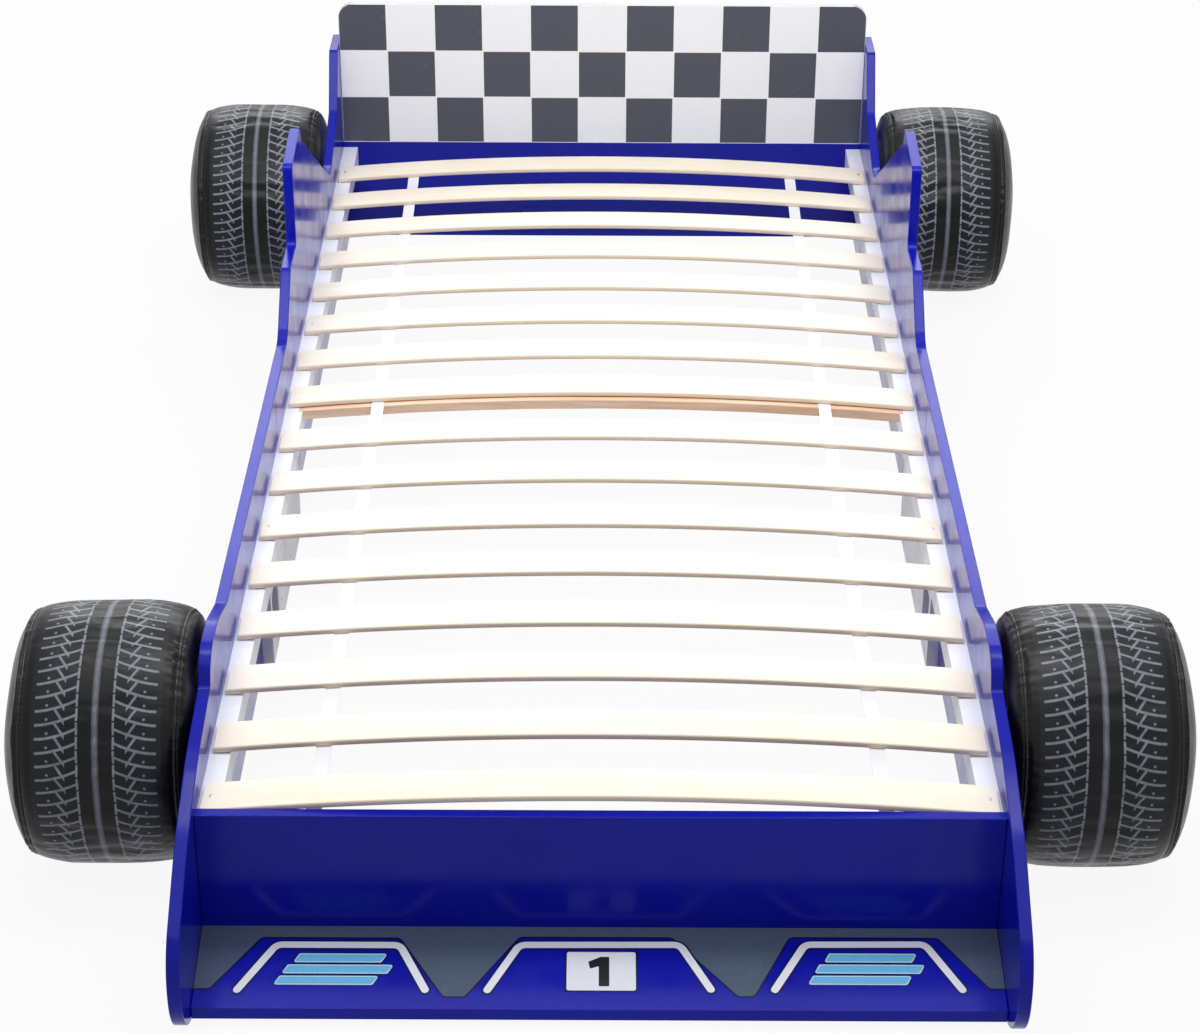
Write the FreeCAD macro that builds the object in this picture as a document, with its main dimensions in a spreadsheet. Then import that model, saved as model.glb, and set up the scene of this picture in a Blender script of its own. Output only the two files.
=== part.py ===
import FreeCAD, Part
import Sketcher
import os
import re

# Car bed for a child, in millimetres. +Z is up, +Y runs from the nose to the headboard, and the
# origin is under the middle of the bed, on the floor. Places in the front half are measured from
# the nose and places in the rear half from the tail, so either half keeps its shape when the
# length changes.

SIZES = {
    # the whole bed
    "overall_length": 2276,
    "inner_width": 920,
    "panel_thick": 15,
    "seam_from_tail": 1190,
    "waist_height": 268,
    "edge_soft": 1.5,
    # front side panel: each run and rise is counted from the corner before, from the nose tip back
    "nose_height": 124,
    "nose_round": 75,
    "hood_run": 126,
    "hood_rise": 78,
    "hood_round": 250,
    "cowl_run": 110,
    "cowl_rise": 36,
    "cowl_round": 300,
    "step_run": 117,
    "step_rise": 17,
    "step_round": 8,
    "hump_run": 18,
    "hump_rise": 36,
    "hump_front_round": 45,
    "hump_length": 75,
    "hump_back_round": 100,
    "waist_run": 77,
    "waist_round": 20,
    # rear side panel: each run is counted from the corner before, from the tail forwards
    "tail_height": 383,
    "tail_round": 12,
    "fin_run": 92,
    "fin_round": 8,
    "knee_run": 53,
    "knee_height": 290,
    "knee_round": 15,
    "valley_run": 138,
    "valley_height": 245,
    "valley_round": 40,
    "valley_length": 45,
    "valley_rise": 2,
    "drop_run": 375,
    "drop_height": 458,
    "peak_run": 17,
    "peak_rise": 28,
    "peak_round": 10,
    "wing_run": 122,
    "wing_fall": 13,
    "shoulder_height": 345,
    "wing_foot_round": 12,
    "shoulder_run": 85,
    "shoulder_round": 15,
    "ramp_run": 88,
    "ramp_round": 60,
    # boards across the bed
    "board_thick": 15,
    "board_floor_gap": 20,
    "front_board_from_nose": 169,
    "front_board_height": 202,
    "shelf_from_nose": 50,
    "shelf_front_height": 23,
    "shelf_back_height": 47,
    "headboard_from_tail": 42.6,
    "headboard_height": 455.2,
    "headboard_round": 27,
    # slats, straps and the beam under them
    "slat_seat": 190,
    "slat_side_gap": 5,
    "slat_width": 55,
    "slat_thick": 8,
    "slat_crown": 22,
    "slat_first_gap": 1,
    "slat_seam_lap": 26,
    "slat_seam_gap": 112,
    "slat_last_gap": 111.4,
    "strap_inset": 135,
    "strap_width": 18,
    "strap_thick": 1.2,
    "beam_side_gap": 20,
    "beam_depth": 45,
    "beam_thick": 14,
    "beam_lead": 9,
    # rails and joint plates
    "rail_width": 25,
    "rail_height": 34,
    "plate_thick": 15,
    "plate_front_reach": 285,
    "plate_rear_reach": 95,
    "window_margin": 15,
    "window_length": 63,
    "window_low": 29,
    "window_high": 103,
    # wheels
    "wheel_radius": 159,
    "wheel_width": 236,
    "wheel_dome": 37,
    "seam_radius": 154,
    "seam_inset": 15,
    "shoulder_radius": 118,
    "skin_thick": 3,
    "soft_gap": 0.3,
    "foam_wall": 45,
    "foam_dome_wall": 15,
    "cover_bore_radius": 8,
    "hub_radius": 110,
    "hub_thick": 18,
    "front_axle_from_nose": 404,
    "rear_axle_from_tail": 212,
    "axle_height": 159,
    # axle fittings
    "bolt_radius": 5,
    "bolt_play": 0.05,
    "bolt_head_radius": 9,
    "bolt_head_depth": 6.4,
    "bolt_tip_inset": 2,
    "washer_radius": 15,
    "washer_thick": 2,
    "spacer_radius": 14,
    "spacer_thick": 5,
    "running_gap": 0.2,
    "tee_barrel_radius": 7,
    "tee_barrel_depth": 12,
    "tee_flange_radius": 12,
    "tee_flange_thick": 1.5,
    # screws
    "screw_play": 0.05,
    "panel_screw_radius": 3.5,
    "panel_screw_length": 50,
    "panel_screw_head": 5,
    "panel_screw_sink": 4,
    "front_screw_low": 60.6,
    "front_screw_high": 161.6,
    "rear_screw_low": 76.6,
    "rear_screw_middle": 199.2,
    "rear_screw_high": 325.6,
    "rail_screw_radius": 2.2,
    "rail_screw_length": 36,
    "rail_screw_head": 4,
    "rail_screw_sink": 2.5,
    "rail_screw_rise": 10,
    "rail_screw_margin": 60,
    "slat_screw_radius": 2,
    "slat_screw_length": 24,
    "slat_screw_head": 4.5,
    "slat_screw_sink": 3,
    "slat_screw_inset": 16,
    "plate_screw_radius": 2.2,
    "plate_screw_length": 26,
    "plate_screw_head": 4,
    "plate_screw_sink": 2.5,
    "plate_screw_reach": 50,
    "plate_screw_pitch": 120,
    "plate_screw_margin": 35,
}

OVERSHOOT = "1"  # how far a cutting rod runs past the faces that it cuts

SLATS_IN_FRONT = 8
SLATS_IN_REAR = 8
SCREWED_SLATS = (1, 6, 11, 16)
RAIL_SCREWS = 4
SIDES = {"left": -1, "right": 1}

doc = FreeCAD.newDocument("car_bed")
sheet = doc.addObject("Spreadsheet::Sheet", "Sizes")
for row, (alias, number) in enumerate(SIZES.items(), start=1):
    sheet.set("A%d" % row, str(number))
    sheet.setAlias("A%d" % row, alias)
doc.recompute()

ALIAS = re.compile(r"\b(%s)\b" % "|".join(SIZES))
V = FreeCAD.Vector
sub_parts = {}


# ---- helpers ----

def bind(thing, prop, formula):
    """Drive a property by a formula written with the sheet's aliases."""
    thing.setExpression(prop, ALIAS.sub(r"Sizes.\1", formula))


def place(thing, x="0", y="0", z="0", turn=FreeCAD.Rotation()):
    thing.Placement = FreeCAD.Placement(V(), turn)
    for axis, formula in zip("xyz", (x, y, z)):
        bind(thing, "Placement.Base." + axis, formula)
    return thing


def keep(thing, label):
    """Name a finished sub-part."""
    thing.Label = label
    sub_parts[label] = thing
    return thing


def box(name, x, y, z, length, width, height):
    block = doc.addObject("Part::Box", name)
    bind(block, "Length", length)
    bind(block, "Width", width)
    bind(block, "Height", height)
    return place(block, x, y, z)


# A rod is drawn along +Z and then turned to point the way it is driven.
TURNS = {
    "+X": FreeCAD.Rotation(V(0, 1, 0), 90),
    "-X": FreeCAD.Rotation(V(0, 1, 0), -90),
    "+Y": FreeCAD.Rotation(V(1, 0, 0), -90),
    "-Z": FreeCAD.Rotation(V(1, 0, 0), 180),
}


def rod(name, way, x, y, z, radius, length, start="0"):
    """A cylinder from the point, moved on by start along its own way."""
    cylinder = doc.addObject("Part::Cylinder", name)
    bind(cylinder, "Radius", radius)
    bind(cylinder, "Height", length)
    spot = {"X": x, "Y": y, "Z": z}
    spot[way[1]] = "(%s) %s (%s)" % (spot[way[1]], way[0], start)
    return place(cylinder, spot["X"], spot["Y"], spot["Z"], TURNS[way])


def fuse(name, pieces):
    joined = doc.addObject("Part::MultiFuse", name)
    joined.Shapes = pieces
    return joined


def cut(name, base, tool):
    remainder = doc.addObject("Part::Cut", name)
    remainder.Base = base
    remainder.Tool = tool
    return remainder


def group(name, pieces):
    bundle = doc.addObject("Part::Compound", name)
    bundle.Links = pieces
    return bundle


def sketch_in(body, name):
    sketch = body.newObject("Sketcher::SketchObject", name)
    plane = next(f for f in body.Origin.OriginFeatures if f.Role == "XY_Plane")
    sketch.AttachmentSupport = (plane, "")
    sketch.MapMode = "FlatFace"
    return sketch


def pin(sketch, x, y):
    """A construction point held at two distances from the sketch's origin."""
    point = sketch.addGeometry(Part.Point(V(1, 1, 0)), True)
    for formula, kind, across in ((x, "DistanceX", -2), (y, "DistanceY", -1)):
        if formula == "0":
            sketch.addConstraint(Sketcher.Constraint("PointOnObject", point, 1, across))
        else:
            held = sketch.addConstraint(Sketcher.Constraint(kind, -1, 1, point, 1, 1.0))
            bind(sketch, "Constraints[%d]" % held, formula)
    return point


def outline(sketch, corners, bows=()):
    """A closed outline through pinned corners. A bow turns the stretch that leaves its corner
    into an arc: through a pinned point, or centred on the sketch's horizontal axis."""
    bows = dict(bows)
    pins = [pin(sketch, x, y) for x, y in corners]
    mids = {i: pin(sketch, *bow) for i, bow in bows.items() if bow != "axis"}
    doc.recompute()
    spot = {p: V(sketch.Geometry[p].X, sketch.Geometry[p].Y, 0) for p in pins + list(mids.values())}
    for i, start in enumerate(pins):
        end = pins[(i + 1) % len(pins)]
        ends = {start: 1, end: 2}
        if i not in bows:
            line = sketch.addGeometry(Part.LineSegment(spot[start], spot[end]))
        elif i in mids:
            arc = Part.Arc(spot[start], spot[mids[i]], spot[end])
            line = sketch.addGeometry(arc)
            ends = arc_ends(sketch, line, spot, start, end)
            sketch.addConstraint(Sketcher.Constraint("PointOnObject", mids[i], 1, line))
        else:
            line = sketch.addGeometry(Part.Arc(spot[start], crest(spot[start], spot[end]), spot[end]))
            ends = arc_ends(sketch, line, spot, start, end)
            sketch.addConstraint(Sketcher.Constraint("PointOnObject", line, 3, -1))
        for point, end_of_line in ends.items():
            sketch.addConstraint(Sketcher.Constraint("Coincident", line, end_of_line, point, 1))
    return [spot[p] for p in pins]


def crest(start, end):
    """The middle of the arc from start to end, whose centre and end lie on the X axis."""
    run = end.x - start.x
    radius = (start.y ** 2 + run ** 2) / (2 * run)
    centre = V(end.x - radius, 0, 0)
    middle = (start + end) * 0.5 - centre
    return centre + middle.normalize() * radius


def arc_ends(sketch, line, spot, start, end):
    """Which end of a drawn arc lies at which pin."""
    first = sketch.getPoint(line, 1)
    near_start = first.distanceToPoint(spot[start]) < first.distanceToPoint(spot[end])
    return {start: 1, end: 2} if near_start else {start: 2, end: 1}


def edges_at(shape, spots):
    """Names of the edges that stand on the outline at the given corners."""
    names = []
    for number, edge in enumerate(shape.Edges, start=1):
        ends = [vertex.Point for vertex in edge.Vertexes]
        for spot in spots:
            if len(ends) == 2 and all(V(p.x, p.y, 0).distanceToPoint(spot) < 1e-4 for p in ends):
                names.append("Edge%d" % number)
    return names


def rim_edges(shape):
    """Names of the edges that run round the two broad faces of a plate."""
    low, high = shape.BoundBox.ZMin, shape.BoundBox.ZMax
    names = []
    for number, edge in enumerate(shape.Edges, start=1):
        box_z = edge.BoundBox
        level = box_z.ZMax - box_z.ZMin < 1e-4
        if level and min(abs(box_z.ZMin - low), abs(box_z.ZMin - high)) < 1e-4:
            names.append("Edge%d" % number)
    return names


def plate(name, corners, thick):
    """A board cut to an outline of (x, y, radius) corners, with its edges softened."""
    body = doc.addObject("PartDesign::Body", name)
    sketch = sketch_in(body, name + "_outline")
    spots = outline(sketch, [(x, y) for x, y, _ in corners])
    pad = body.newObject("PartDesign::Pad", name + "_pad")
    pad.Profile = sketch
    bind(pad, "Length", thick)
    doc.recompute()
    last = pad
    for radius in dict.fromkeys(r for _, _, r in corners if r):
        at = [spot for spot, (_, _, r) in zip(spots, corners) if r == radius]
        last = rounded(body, last, edges_at(last.Shape, at), radius)
    rounded(body, last, rim_edges(last.Shape), "edge_soft")
    return body


def rounded(body, base, edges, radius):
    fillet = body.newObject("PartDesign::Fillet", "%s_%s" % (body.Name, radius))
    fillet.Base = (base, edges)
    bind(fillet, "Radius", radius)
    doc.recompute()
    return fillet


def side_x(side, distance):
    """The X of something that lies this far from the middle, on one side."""
    return "%d * (%s)" % (SIDES[side], distance)


def low_x(side, inner, thick):
    """The low X of a board whose inner face is this far from the middle."""
    return inner if side == "right" else "-(%s) - (%s)" % (inner, thick)


def outward(side):
    return "+X" if side == "right" else "-X"


def inward(side):
    return "-X" if side == "right" else "+X"


# ---- places shared by several pieces ----

NOSE_Y = "-overall_length / 2"
TAIL_Y = "overall_length / 2"
SEAM_Y = TAIL_Y + " - seam_from_tail"
PANEL_IN = "inner_width / 2"
PANEL_OUT = "inner_width / 2 + panel_thick"
FRONT_BOARD_Y = NOSE_Y + " + front_board_from_nose"
BAY_FRONT_Y = FRONT_BOARD_Y + " + board_thick"
HEADBOARD_BACK_Y = TAIL_Y + " - headboard_from_tail"
BAY_REAR_Y = HEADBOARD_BACK_Y + " - board_thick"
AXLE_Y = {"front": NOSE_Y + " + front_axle_from_nose", "rear": TAIL_Y + " - rear_axle_from_tail"}
RAIL_LOW = "(slat_seat - rail_height)"
RAIL_IN = "(inner_width / 2 - rail_width)"
RAIL_SPAN = {"front": (BAY_FRONT_Y, SEAM_Y), "rear": (SEAM_Y, BAY_REAR_Y)}
SLAT_END = "(inner_width / 2 - slat_side_gap)"
BEAM_END = "(inner_width / 2 - beam_side_gap)"
STRAP_X = "(inner_width / 2 - strap_inset)"
SLAT_SCREW_X = "(inner_width / 2 - slat_screw_inset)"
ARC_RADIUS = "((%s^2 + slat_crown^2) / (2 * slat_crown))" % SLAT_END
ARC_CENTRE_Z = "slat_seat + slat_crown - " + ARC_RADIUS
BEAM_TOP = ARC_RADIUS + " - strap_thick"


def arc_rise(distance, radius=ARC_RADIUS):
    """Height above the slats' seat of the slat arc, this far from the middle."""
    return "(sqrt((%s)^2 - (%s)^2) + slat_crown - %s)" % (radius, distance, ARC_RADIUS)


def slat_half(number):
    return "front" if number <= SLATS_IN_FRONT else "rear"


def slat_front(number):
    """Where a slat begins. The slats of each half are evenly spaced between its two ends."""
    if number <= SLATS_IN_FRONT:
        step, steps = number - 1, SLATS_IN_FRONT - 1
        first = BAY_FRONT_Y + " + slat_first_gap"
        last = SEAM_Y + " - slat_seam_lap"
    else:
        step, steps = number - SLATS_IN_FRONT - 1, SLATS_IN_REAR - 1
        first = SEAM_Y + " + slat_seam_gap"
        last = BAY_REAR_Y + " - slat_last_gap - slat_width"
    return "%s + %d / %d * ((%s) - (%s))" % (first, step, steps, last, first)


BEAM_Y = slat_front(SLATS_IN_FRONT + 1) + " - beam_lead"


# ---- fasteners and the holes they need ----

def screw(name, kind, spot, way, play):
    """One screw, driven from its head's face at the spot. With play it is the hole for it."""
    x, y, z = spot
    head = rod(name + "_head", way, x, y, z, "%s_head + %s" % (kind, play),
               "%s_sink + 2 * %s" % (kind, play), "-" + play)
    shank = rod(name + "_shank", way, x, y, z, "%s_radius + %s" % (kind, play),
                "%s_length + %s" % (kind, play))
    return fuse(name, [head, shank])


def screw_set(label, kind, spots):
    """A node of identical screws. Gives back the matching holes, in the same order."""
    real = [screw("%s_%d" % (label, i), kind, spot, way, "0")
            for i, (spot, way) in enumerate(spots, start=1)]
    keep(group(label, real), label)
    return [screw("%s_hole_%d" % (label, i), kind, spot, way, "screw_play")
            for i, (spot, way) in enumerate(spots, start=1)]


SHELF_MID_Y = "%s + (shelf_from_nose + front_board_from_nose) / 2" % NOSE_Y
SHELF_MID_Z = "(shelf_front_height + shelf_back_height - board_thick) / 2"
FRONT_SCREW_PLACES = [
    (FRONT_BOARD_Y + " + board_thick / 2", "front_screw_low"),
    (FRONT_BOARD_Y + " + board_thick / 2", "front_screw_high"),
    (SHELF_MID_Y, SHELF_MID_Z),
]
REAR_SCREW_PLACES = [
    (BAY_REAR_Y + " + board_thick / 2", "rear_screw_" + level) for level in ("low", "middle", "high")
]


def panel_screw_spots(side, places):
    return [((side_x(side, PANEL_OUT), y, z), inward(side)) for y, z in places]


def rail_screw_spots(side, half):
    start, end = RAIL_SPAN[half]
    spots = []
    for i in range(RAIL_SCREWS):
        run = "(%s) - (%s) - 2 * rail_screw_margin" % (end, start)
        y = "%s + rail_screw_margin + %d / %d * (%s)" % (start, i, RAIL_SCREWS - 1, run)
        spots.append(((side_x(side, RAIL_IN), y, RAIL_LOW + " + rail_screw_rise"), outward(side)))
    return spots


def slat_screw_spot(side, number):
    y = slat_front(number) + " + slat_width / 2"
    z = "slat_seat + slat_thick + " + arc_rise(SLAT_SCREW_X)
    return ((side_x(side, SLAT_SCREW_X), y, z), "-Z")


def plate_screw_spots(side):
    steps = ("plate_screw_reach", "-plate_screw_reach", "-plate_screw_reach - plate_screw_pitch")
    heights = ("plate_screw_margin", RAIL_LOW + " - plate_screw_margin")
    x = side_x(side, "inner_width / 2 - plate_thick")
    return [((x, SEAM_Y + " + " + step, z), outward(side)) for step in steps for z in heights]


def sorted_holes(label, kind, wanted):
    """Holes of one screw set, by the key that each spot came with."""
    holes = screw_set(label, kind, [spot for _, spot in wanted])
    by_key = {}
    for (key, _), hole in zip(wanted, holes):
        by_key.setdefault(key, []).append(hole)
    return by_key


panel_holes = sorted_holes("panel_screws", "panel_screw", [
    ((half, side), spot)
    for half, places in (("front", FRONT_SCREW_PLACES), ("rear", REAR_SCREW_PLACES))
    for side in SIDES
    for spot in panel_screw_spots(side, places)])
rail_holes = sorted_holes("rail_screws", "rail_screw", [
    ((half, side), spot)
    for half in RAIL_SPAN for side in SIDES for spot in rail_screw_spots(side, half)])
slat_holes = sorted_holes("slat_screws", "slat_screw", [
    ((slat_half(number), side), slat_screw_spot(side, number))
    for number in SCREWED_SLATS for side in SIDES])
plate_holes = sorted_holes("plate_screws", "plate_screw", [
    (side, spot) for side in SIDES for spot in plate_screw_spots(side)])


# ---- axle fittings ----

CORNERS = [(half, side) for half in AXLE_Y for side in SIDES]
WHEEL_X = PANEL_OUT + " + spacer_thick + running_gap"
HUB_BACK_X = WHEEL_X + " + skin_thick + hub_thick"
BOLT_HEAD_X = HUB_BACK_X + " + running_gap + washer_thick"


def axle_rod(name, corner, from_x, radius, length, start="0"):
    half, side = corner
    return rod("%s_%s_%s" % (name, half, side), outward(side), side_x(side, from_x),
               AXLE_Y[half], "axle_height", radius, length, start)


def axle_ring(name, corner, from_x, radius, length):
    """A flat ring that sits round the axle bolt."""
    disc = axle_rod(name + "_disc", corner, from_x, radius, length)
    bore = axle_rod(name + "_bore", corner, from_x, "bolt_radius + bolt_play",
                    "%s + 2 * %s" % (length, OVERSHOOT), "-" + OVERSHOOT)
    return cut("%s_%s_%s" % (name, *corner), disc, bore)


def axle_bolt(corner):
    shank = axle_rod("bolt_shank", corner, PANEL_IN + " + bolt_tip_inset", "bolt_radius",
                     "(%s) - (%s) - bolt_tip_inset" % (BOLT_HEAD_X, PANEL_IN))
    head = axle_rod("bolt_head", corner, BOLT_HEAD_X, "bolt_head_radius", "bolt_head_depth")
    return fuse("bolt_%s_%s" % corner, [shank, head])


def tee_solid(name, corner, play):
    """Barrel and flange of the nut that is let into the panel's inner face."""
    flange = axle_rod(name + "_flange", corner, PANEL_IN, "tee_flange_radius + " + play,
                      "tee_flange_thick + 2 * " + play, "-" + play)
    barrel = axle_rod(name + "_barrel", corner, PANEL_IN, "tee_barrel_radius + " + play,
                      "tee_barrel_depth + " + play)
    return fuse("%s_solid_%s_%s" % (name, *corner), [flange, barrel])


def tee_nut(corner):
    bore = axle_rod("tee_bore", corner, PANEL_IN, "bolt_radius + bolt_play",
                    "tee_barrel_depth + 2 * " + OVERSHOOT, "-" + OVERSHOOT)
    return cut("tee_%s_%s" % corner, tee_solid("tee", corner, "0"), bore)


def axle_hole(corner):
    """The stepped hole in a side panel for the tee nut and the bolt."""
    through = axle_rod("axle_through", corner, PANEL_IN, "bolt_radius + bolt_play",
                       "panel_thick + 2 * " + OVERSHOOT, "-" + OVERSHOOT)
    return fuse("axle_hole_%s_%s" % corner, [tee_solid("seat", corner, "screw_play"), through])


keep(group("axle_bolts", [axle_bolt(c) for c in CORNERS]), "axle_bolts")
keep(group("axle_tee_nuts", [tee_nut(c) for c in CORNERS]), "axle_tee_nuts")
keep(group("axle_spacers", [axle_ring("spacer", c, PANEL_OUT, "spacer_radius", "spacer_thick")
                            for c in CORNERS]), "axle_spacers")
keep(group("axle_washers", [axle_ring("washer", c, HUB_BACK_X + " + running_gap",
                                      "washer_radius", "washer_thick")
                            for c in CORNERS]), "axle_washers")


# ---- side panels ----

PROFILE_FORWARD = FreeCAD.Rotation(V(0, 1, 0), V(0, 0, 1), V(1, 0, 0), "XYZ")
PROFILE_BACKWARD = FreeCAD.Rotation(V(0, -1, 0), V(0, 0, 1), V(-1, 0, 0), "XYZ")
PROFILE_ACROSS = FreeCAD.Rotation(V(1, 0, 0), V(0, 0, 1), V(0, -1, 0), "XYZ")

HOOD_Z = "nose_height + hood_rise"
COWL_Z = HOOD_Z + " + cowl_rise"
STEP_Z = COWL_Z + " + step_rise"
HUMP_Z = STEP_Z + " + hump_rise"
VALLEY_FRONT_Z = "valley_height + valley_rise"
PEAK_Z = "drop_height + peak_rise"
WING_Z = PEAK_Z + " - wing_fall"


def profile(steps, seam):
    """Corners of a side panel. Each step gives its run from the corner before."""
    corners = []
    run = "0"
    for step, height, radius in steps:
        run = step if run == "0" else run + " + " + step
        corners.append((run, height, radius))
    return corners + [(seam, "waist_height", None), (seam, "0", None)]


FRONT_PANEL = profile([
    ("0", "0", "nose_round"),
    ("0", "nose_height", "nose_round"),
    ("hood_run", HOOD_Z, "hood_round"),
    ("cowl_run", COWL_Z, "cowl_round"),
    ("step_run", STEP_Z, "step_round"),
    ("hump_run", HUMP_Z, "hump_front_round"),
    ("hump_length", HUMP_Z, "hump_back_round"),
    ("waist_run", "waist_height", "waist_round"),
], "overall_length - seam_from_tail")
REAR_PANEL = profile([
    ("0", "0", "tail_round"),
    ("0", "tail_height", "tail_round"),
    ("fin_run", "tail_height", "fin_round"),
    ("knee_run", "knee_height", "knee_round"),
    ("valley_run", "valley_height", "valley_round"),
    ("valley_length", VALLEY_FRONT_Z, "valley_round"),
    ("drop_run", "drop_height", None),
    ("peak_run", PEAK_Z, "peak_round"),
    ("wing_run", WING_Z, "peak_round"),
    ("0", "shoulder_height", "wing_foot_round"),
    ("shoulder_run", "shoulder_height", "shoulder_round"),
    ("ramp_run", "waist_height", "ramp_round"),
], "seam_from_tail")

for side in SIDES:
    front = plate("front_panel_" + side, FRONT_PANEL, "panel_thick")
    place(front, low_x(side, PANEL_IN, "panel_thick"), NOSE_Y, "0", PROFILE_FORWARD)
    rear = plate("rear_panel_" + side, REAR_PANEL, "panel_thick")
    place(rear, low_x(side, PANEL_IN, "panel_thick") + " + panel_thick", TAIL_Y, "0",
          PROFILE_BACKWARD)
    for half, blank in (("front", front), ("rear", rear)):
        holes = [axle_hole((half, side))] + panel_holes[half, side]
        holes += rail_holes[half, side] + plate_holes[side]
        drilled = cut("drilled_%s_%s" % (half, side), blank,
                      group("panel_tools_%s_%s" % (half, side), holes))
        keep(drilled, "side_panel_%s_%s" % (half, side))


# ---- boards across the bed ----

def screws_for(half):
    return [hole for side in SIDES for hole in panel_holes[half, side]]


front_blank = plate("front_blank", [
    ("0", "board_floor_gap", None),
    ("inner_width", "board_floor_gap", None),
    ("inner_width", "front_board_height", None),
    ("0", "front_board_height", None),
], "board_thick")
place(front_blank, "-inner_width / 2", BAY_FRONT_Y, "0", PROFILE_ACROSS)
keep(cut("front_board", front_blank, group("front_board_tools", screws_for("front"))),
     "front_board")

shelf_blank = plate("shelf_blank", [
    ("0", "shelf_front_height - board_thick", None),
    ("front_board_from_nose - shelf_from_nose", "shelf_back_height - board_thick", None),
    ("front_board_from_nose - shelf_from_nose", "shelf_back_height", None),
    ("0", "shelf_front_height", None),
], "inner_width")
place(shelf_blank, "-inner_width / 2", NOSE_Y + " + shelf_from_nose", "0", PROFILE_FORWARD)
keep(cut("nose_shelf", shelf_blank, group("shelf_tools", screws_for("front"))), "nose_shelf")

head_blank = plate("head_blank", [
    ("0", "board_floor_gap", None),
    ("inner_width", "board_floor_gap", None),
    ("inner_width", "headboard_height", "headboard_round"),
    ("0", "headboard_height", "headboard_round"),
], "board_thick")
place(head_blank, "-inner_width / 2", HEADBOARD_BACK_Y, "0", PROFILE_ACROSS)
keep(cut("headboard", head_blank, group("headboard_tools", screws_for("rear"))), "headboard")


# ---- rails and joint plates ----

NOTCH_Z = "slat_seat - beam_thick - strap_thick + " + arc_rise(BEAM_END)

for side in SIDES:
    for half, (start, end) in RAIL_SPAN.items():
        name = "rail_%s_%s" % (half, side)
        blank = box(name + "_blank", low_x(side, RAIL_IN, "rail_width"), start, RAIL_LOW,
                    "rail_width", "(%s) - (%s)" % (end, start), "rail_height")
        tools = rail_holes[half, side] + slat_holes[half, side]
        if half == "rear":
            notch_depth = "%s - %s" % (BEAM_END, RAIL_IN)
            tools.append(box(name + "_notch", low_x(side, RAIL_IN, notch_depth), BEAM_Y, NOTCH_Z,
                             notch_depth, "beam_depth", "rail_height"))
        keep(cut(name, blank, group(name + "_tools", tools)), name)

    name = "joint_plate_" + side
    plate_y = SEAM_Y + " - plate_front_reach"
    board = box(name + "_blank", low_x(side, "(inner_width / 2 - plate_thick)", "plate_thick"),
                plate_y, "0", "plate_thick", "plate_front_reach + plate_rear_reach", RAIL_LOW)
    window = box(name + "_window", low_x(side, "(inner_width / 2 - plate_thick)", "plate_thick"),
                 plate_y + " + window_margin", "window_low",
                 "plate_thick", "window_length", "window_high - window_low")
    keep(cut(name, board, group(name + "_tools", [window] + plate_holes[side])), name)


# ---- slats, straps and the beam: all bent to the slats' arc ----

def arched(name, low, high, front, depth, top, thick):
    """A bar bent to an arc about the slats' centre line. Its top lies on the radius top."""
    outer = rod(name + "_outer", "+Y", "0", front, ARC_CENTRE_Z, top, depth)
    inner = rod(name + "_inner", "+Y", "0", front, ARC_CENTRE_Z, "%s - %s" % (top, thick), depth)
    ring = cut(name + "_ring", outer, inner)
    reach = "2 * (slat_crown + beam_thick)"
    window = box(name + "_stretch", low, front, "slat_seat - %s" % reach,
                 "(%s) - (%s)" % (high, low), depth, "2 * %s" % reach)
    bar = doc.addObject("Part::Common", name + "_bar")
    bar.Base = ring
    bar.Tool = window
    return bar


for number in range(1, SLATS_IN_FRONT + SLATS_IN_REAR + 1):
    name = "slat_%02d" % number
    bar = arched(name, "-" + SLAT_END, SLAT_END, slat_front(number), "slat_width",
                 ARC_RADIUS + " + slat_thick", "slat_thick")
    if number in SCREWED_SLATS:
        tools = [hole for side in SIDES for hole in slat_holes[slat_half(number), side]]
        bar = cut(name, bar, group(name + "_tools", tools))
    keep(bar, name)

for side in SIDES:
    middle = side_x(side, STRAP_X)
    front = slat_front(1)
    strap = arched("strap_" + side, middle + " - strap_width / 2", middle + " + strap_width / 2",
                   front, "%s + slat_width - (%s)" % (slat_front(SLATS_IN_FRONT + SLATS_IN_REAR),
                                                      front), ARC_RADIUS, "strap_thick")
    keep(strap, "strap_" + side)

keep(arched("beam", "-" + BEAM_END, BEAM_END, BEAM_Y, "beam_depth", BEAM_TOP, "beam_thick"),
     "mid_cross_beam")


# ---- wheels: a soft cover over a foam core on a plywood disc ----

def wheel_corners(inset):
    """The rounded part of a wheel's section, from the inner seam to the middle of the dome:
    x from the wheel's inner face, y from its axle."""
    return [
        ("seam_inset + " + inset, "seam_radius - " + inset),
        ("wheel_width - wheel_dome - " + inset, "seam_radius - " + inset),
        ("wheel_width - " + inset, "0"),
    ]


def tread_crest(start, inset):
    middle = "(%s + wheel_width - wheel_dome - %s) / 2" % (start, inset)
    return (middle, "wheel_radius - " + inset)


def turned(body, name, kind, corners, bows):
    """Add or cut what a section makes when it is turned once round the sketch's X axis."""
    sketch = sketch_in(body, name + "_section")
    outline(sketch, corners, bows)
    turn = body.newObject("PartDesign::" + kind, name)
    turn.Profile = sketch
    turn.ReferenceAxis = (sketch, ["H_Axis"])
    turn.Angle = 360
    doc.recompute()
    return turn


def put_on_axle(thing, corner, from_x):
    half, side = corner
    turn = FreeCAD.Rotation(V(0, 0, 1), 0 if side == "right" else 180)
    return place(thing, side_x(side, from_x), AXLE_Y[half], "axle_height", turn)


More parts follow.
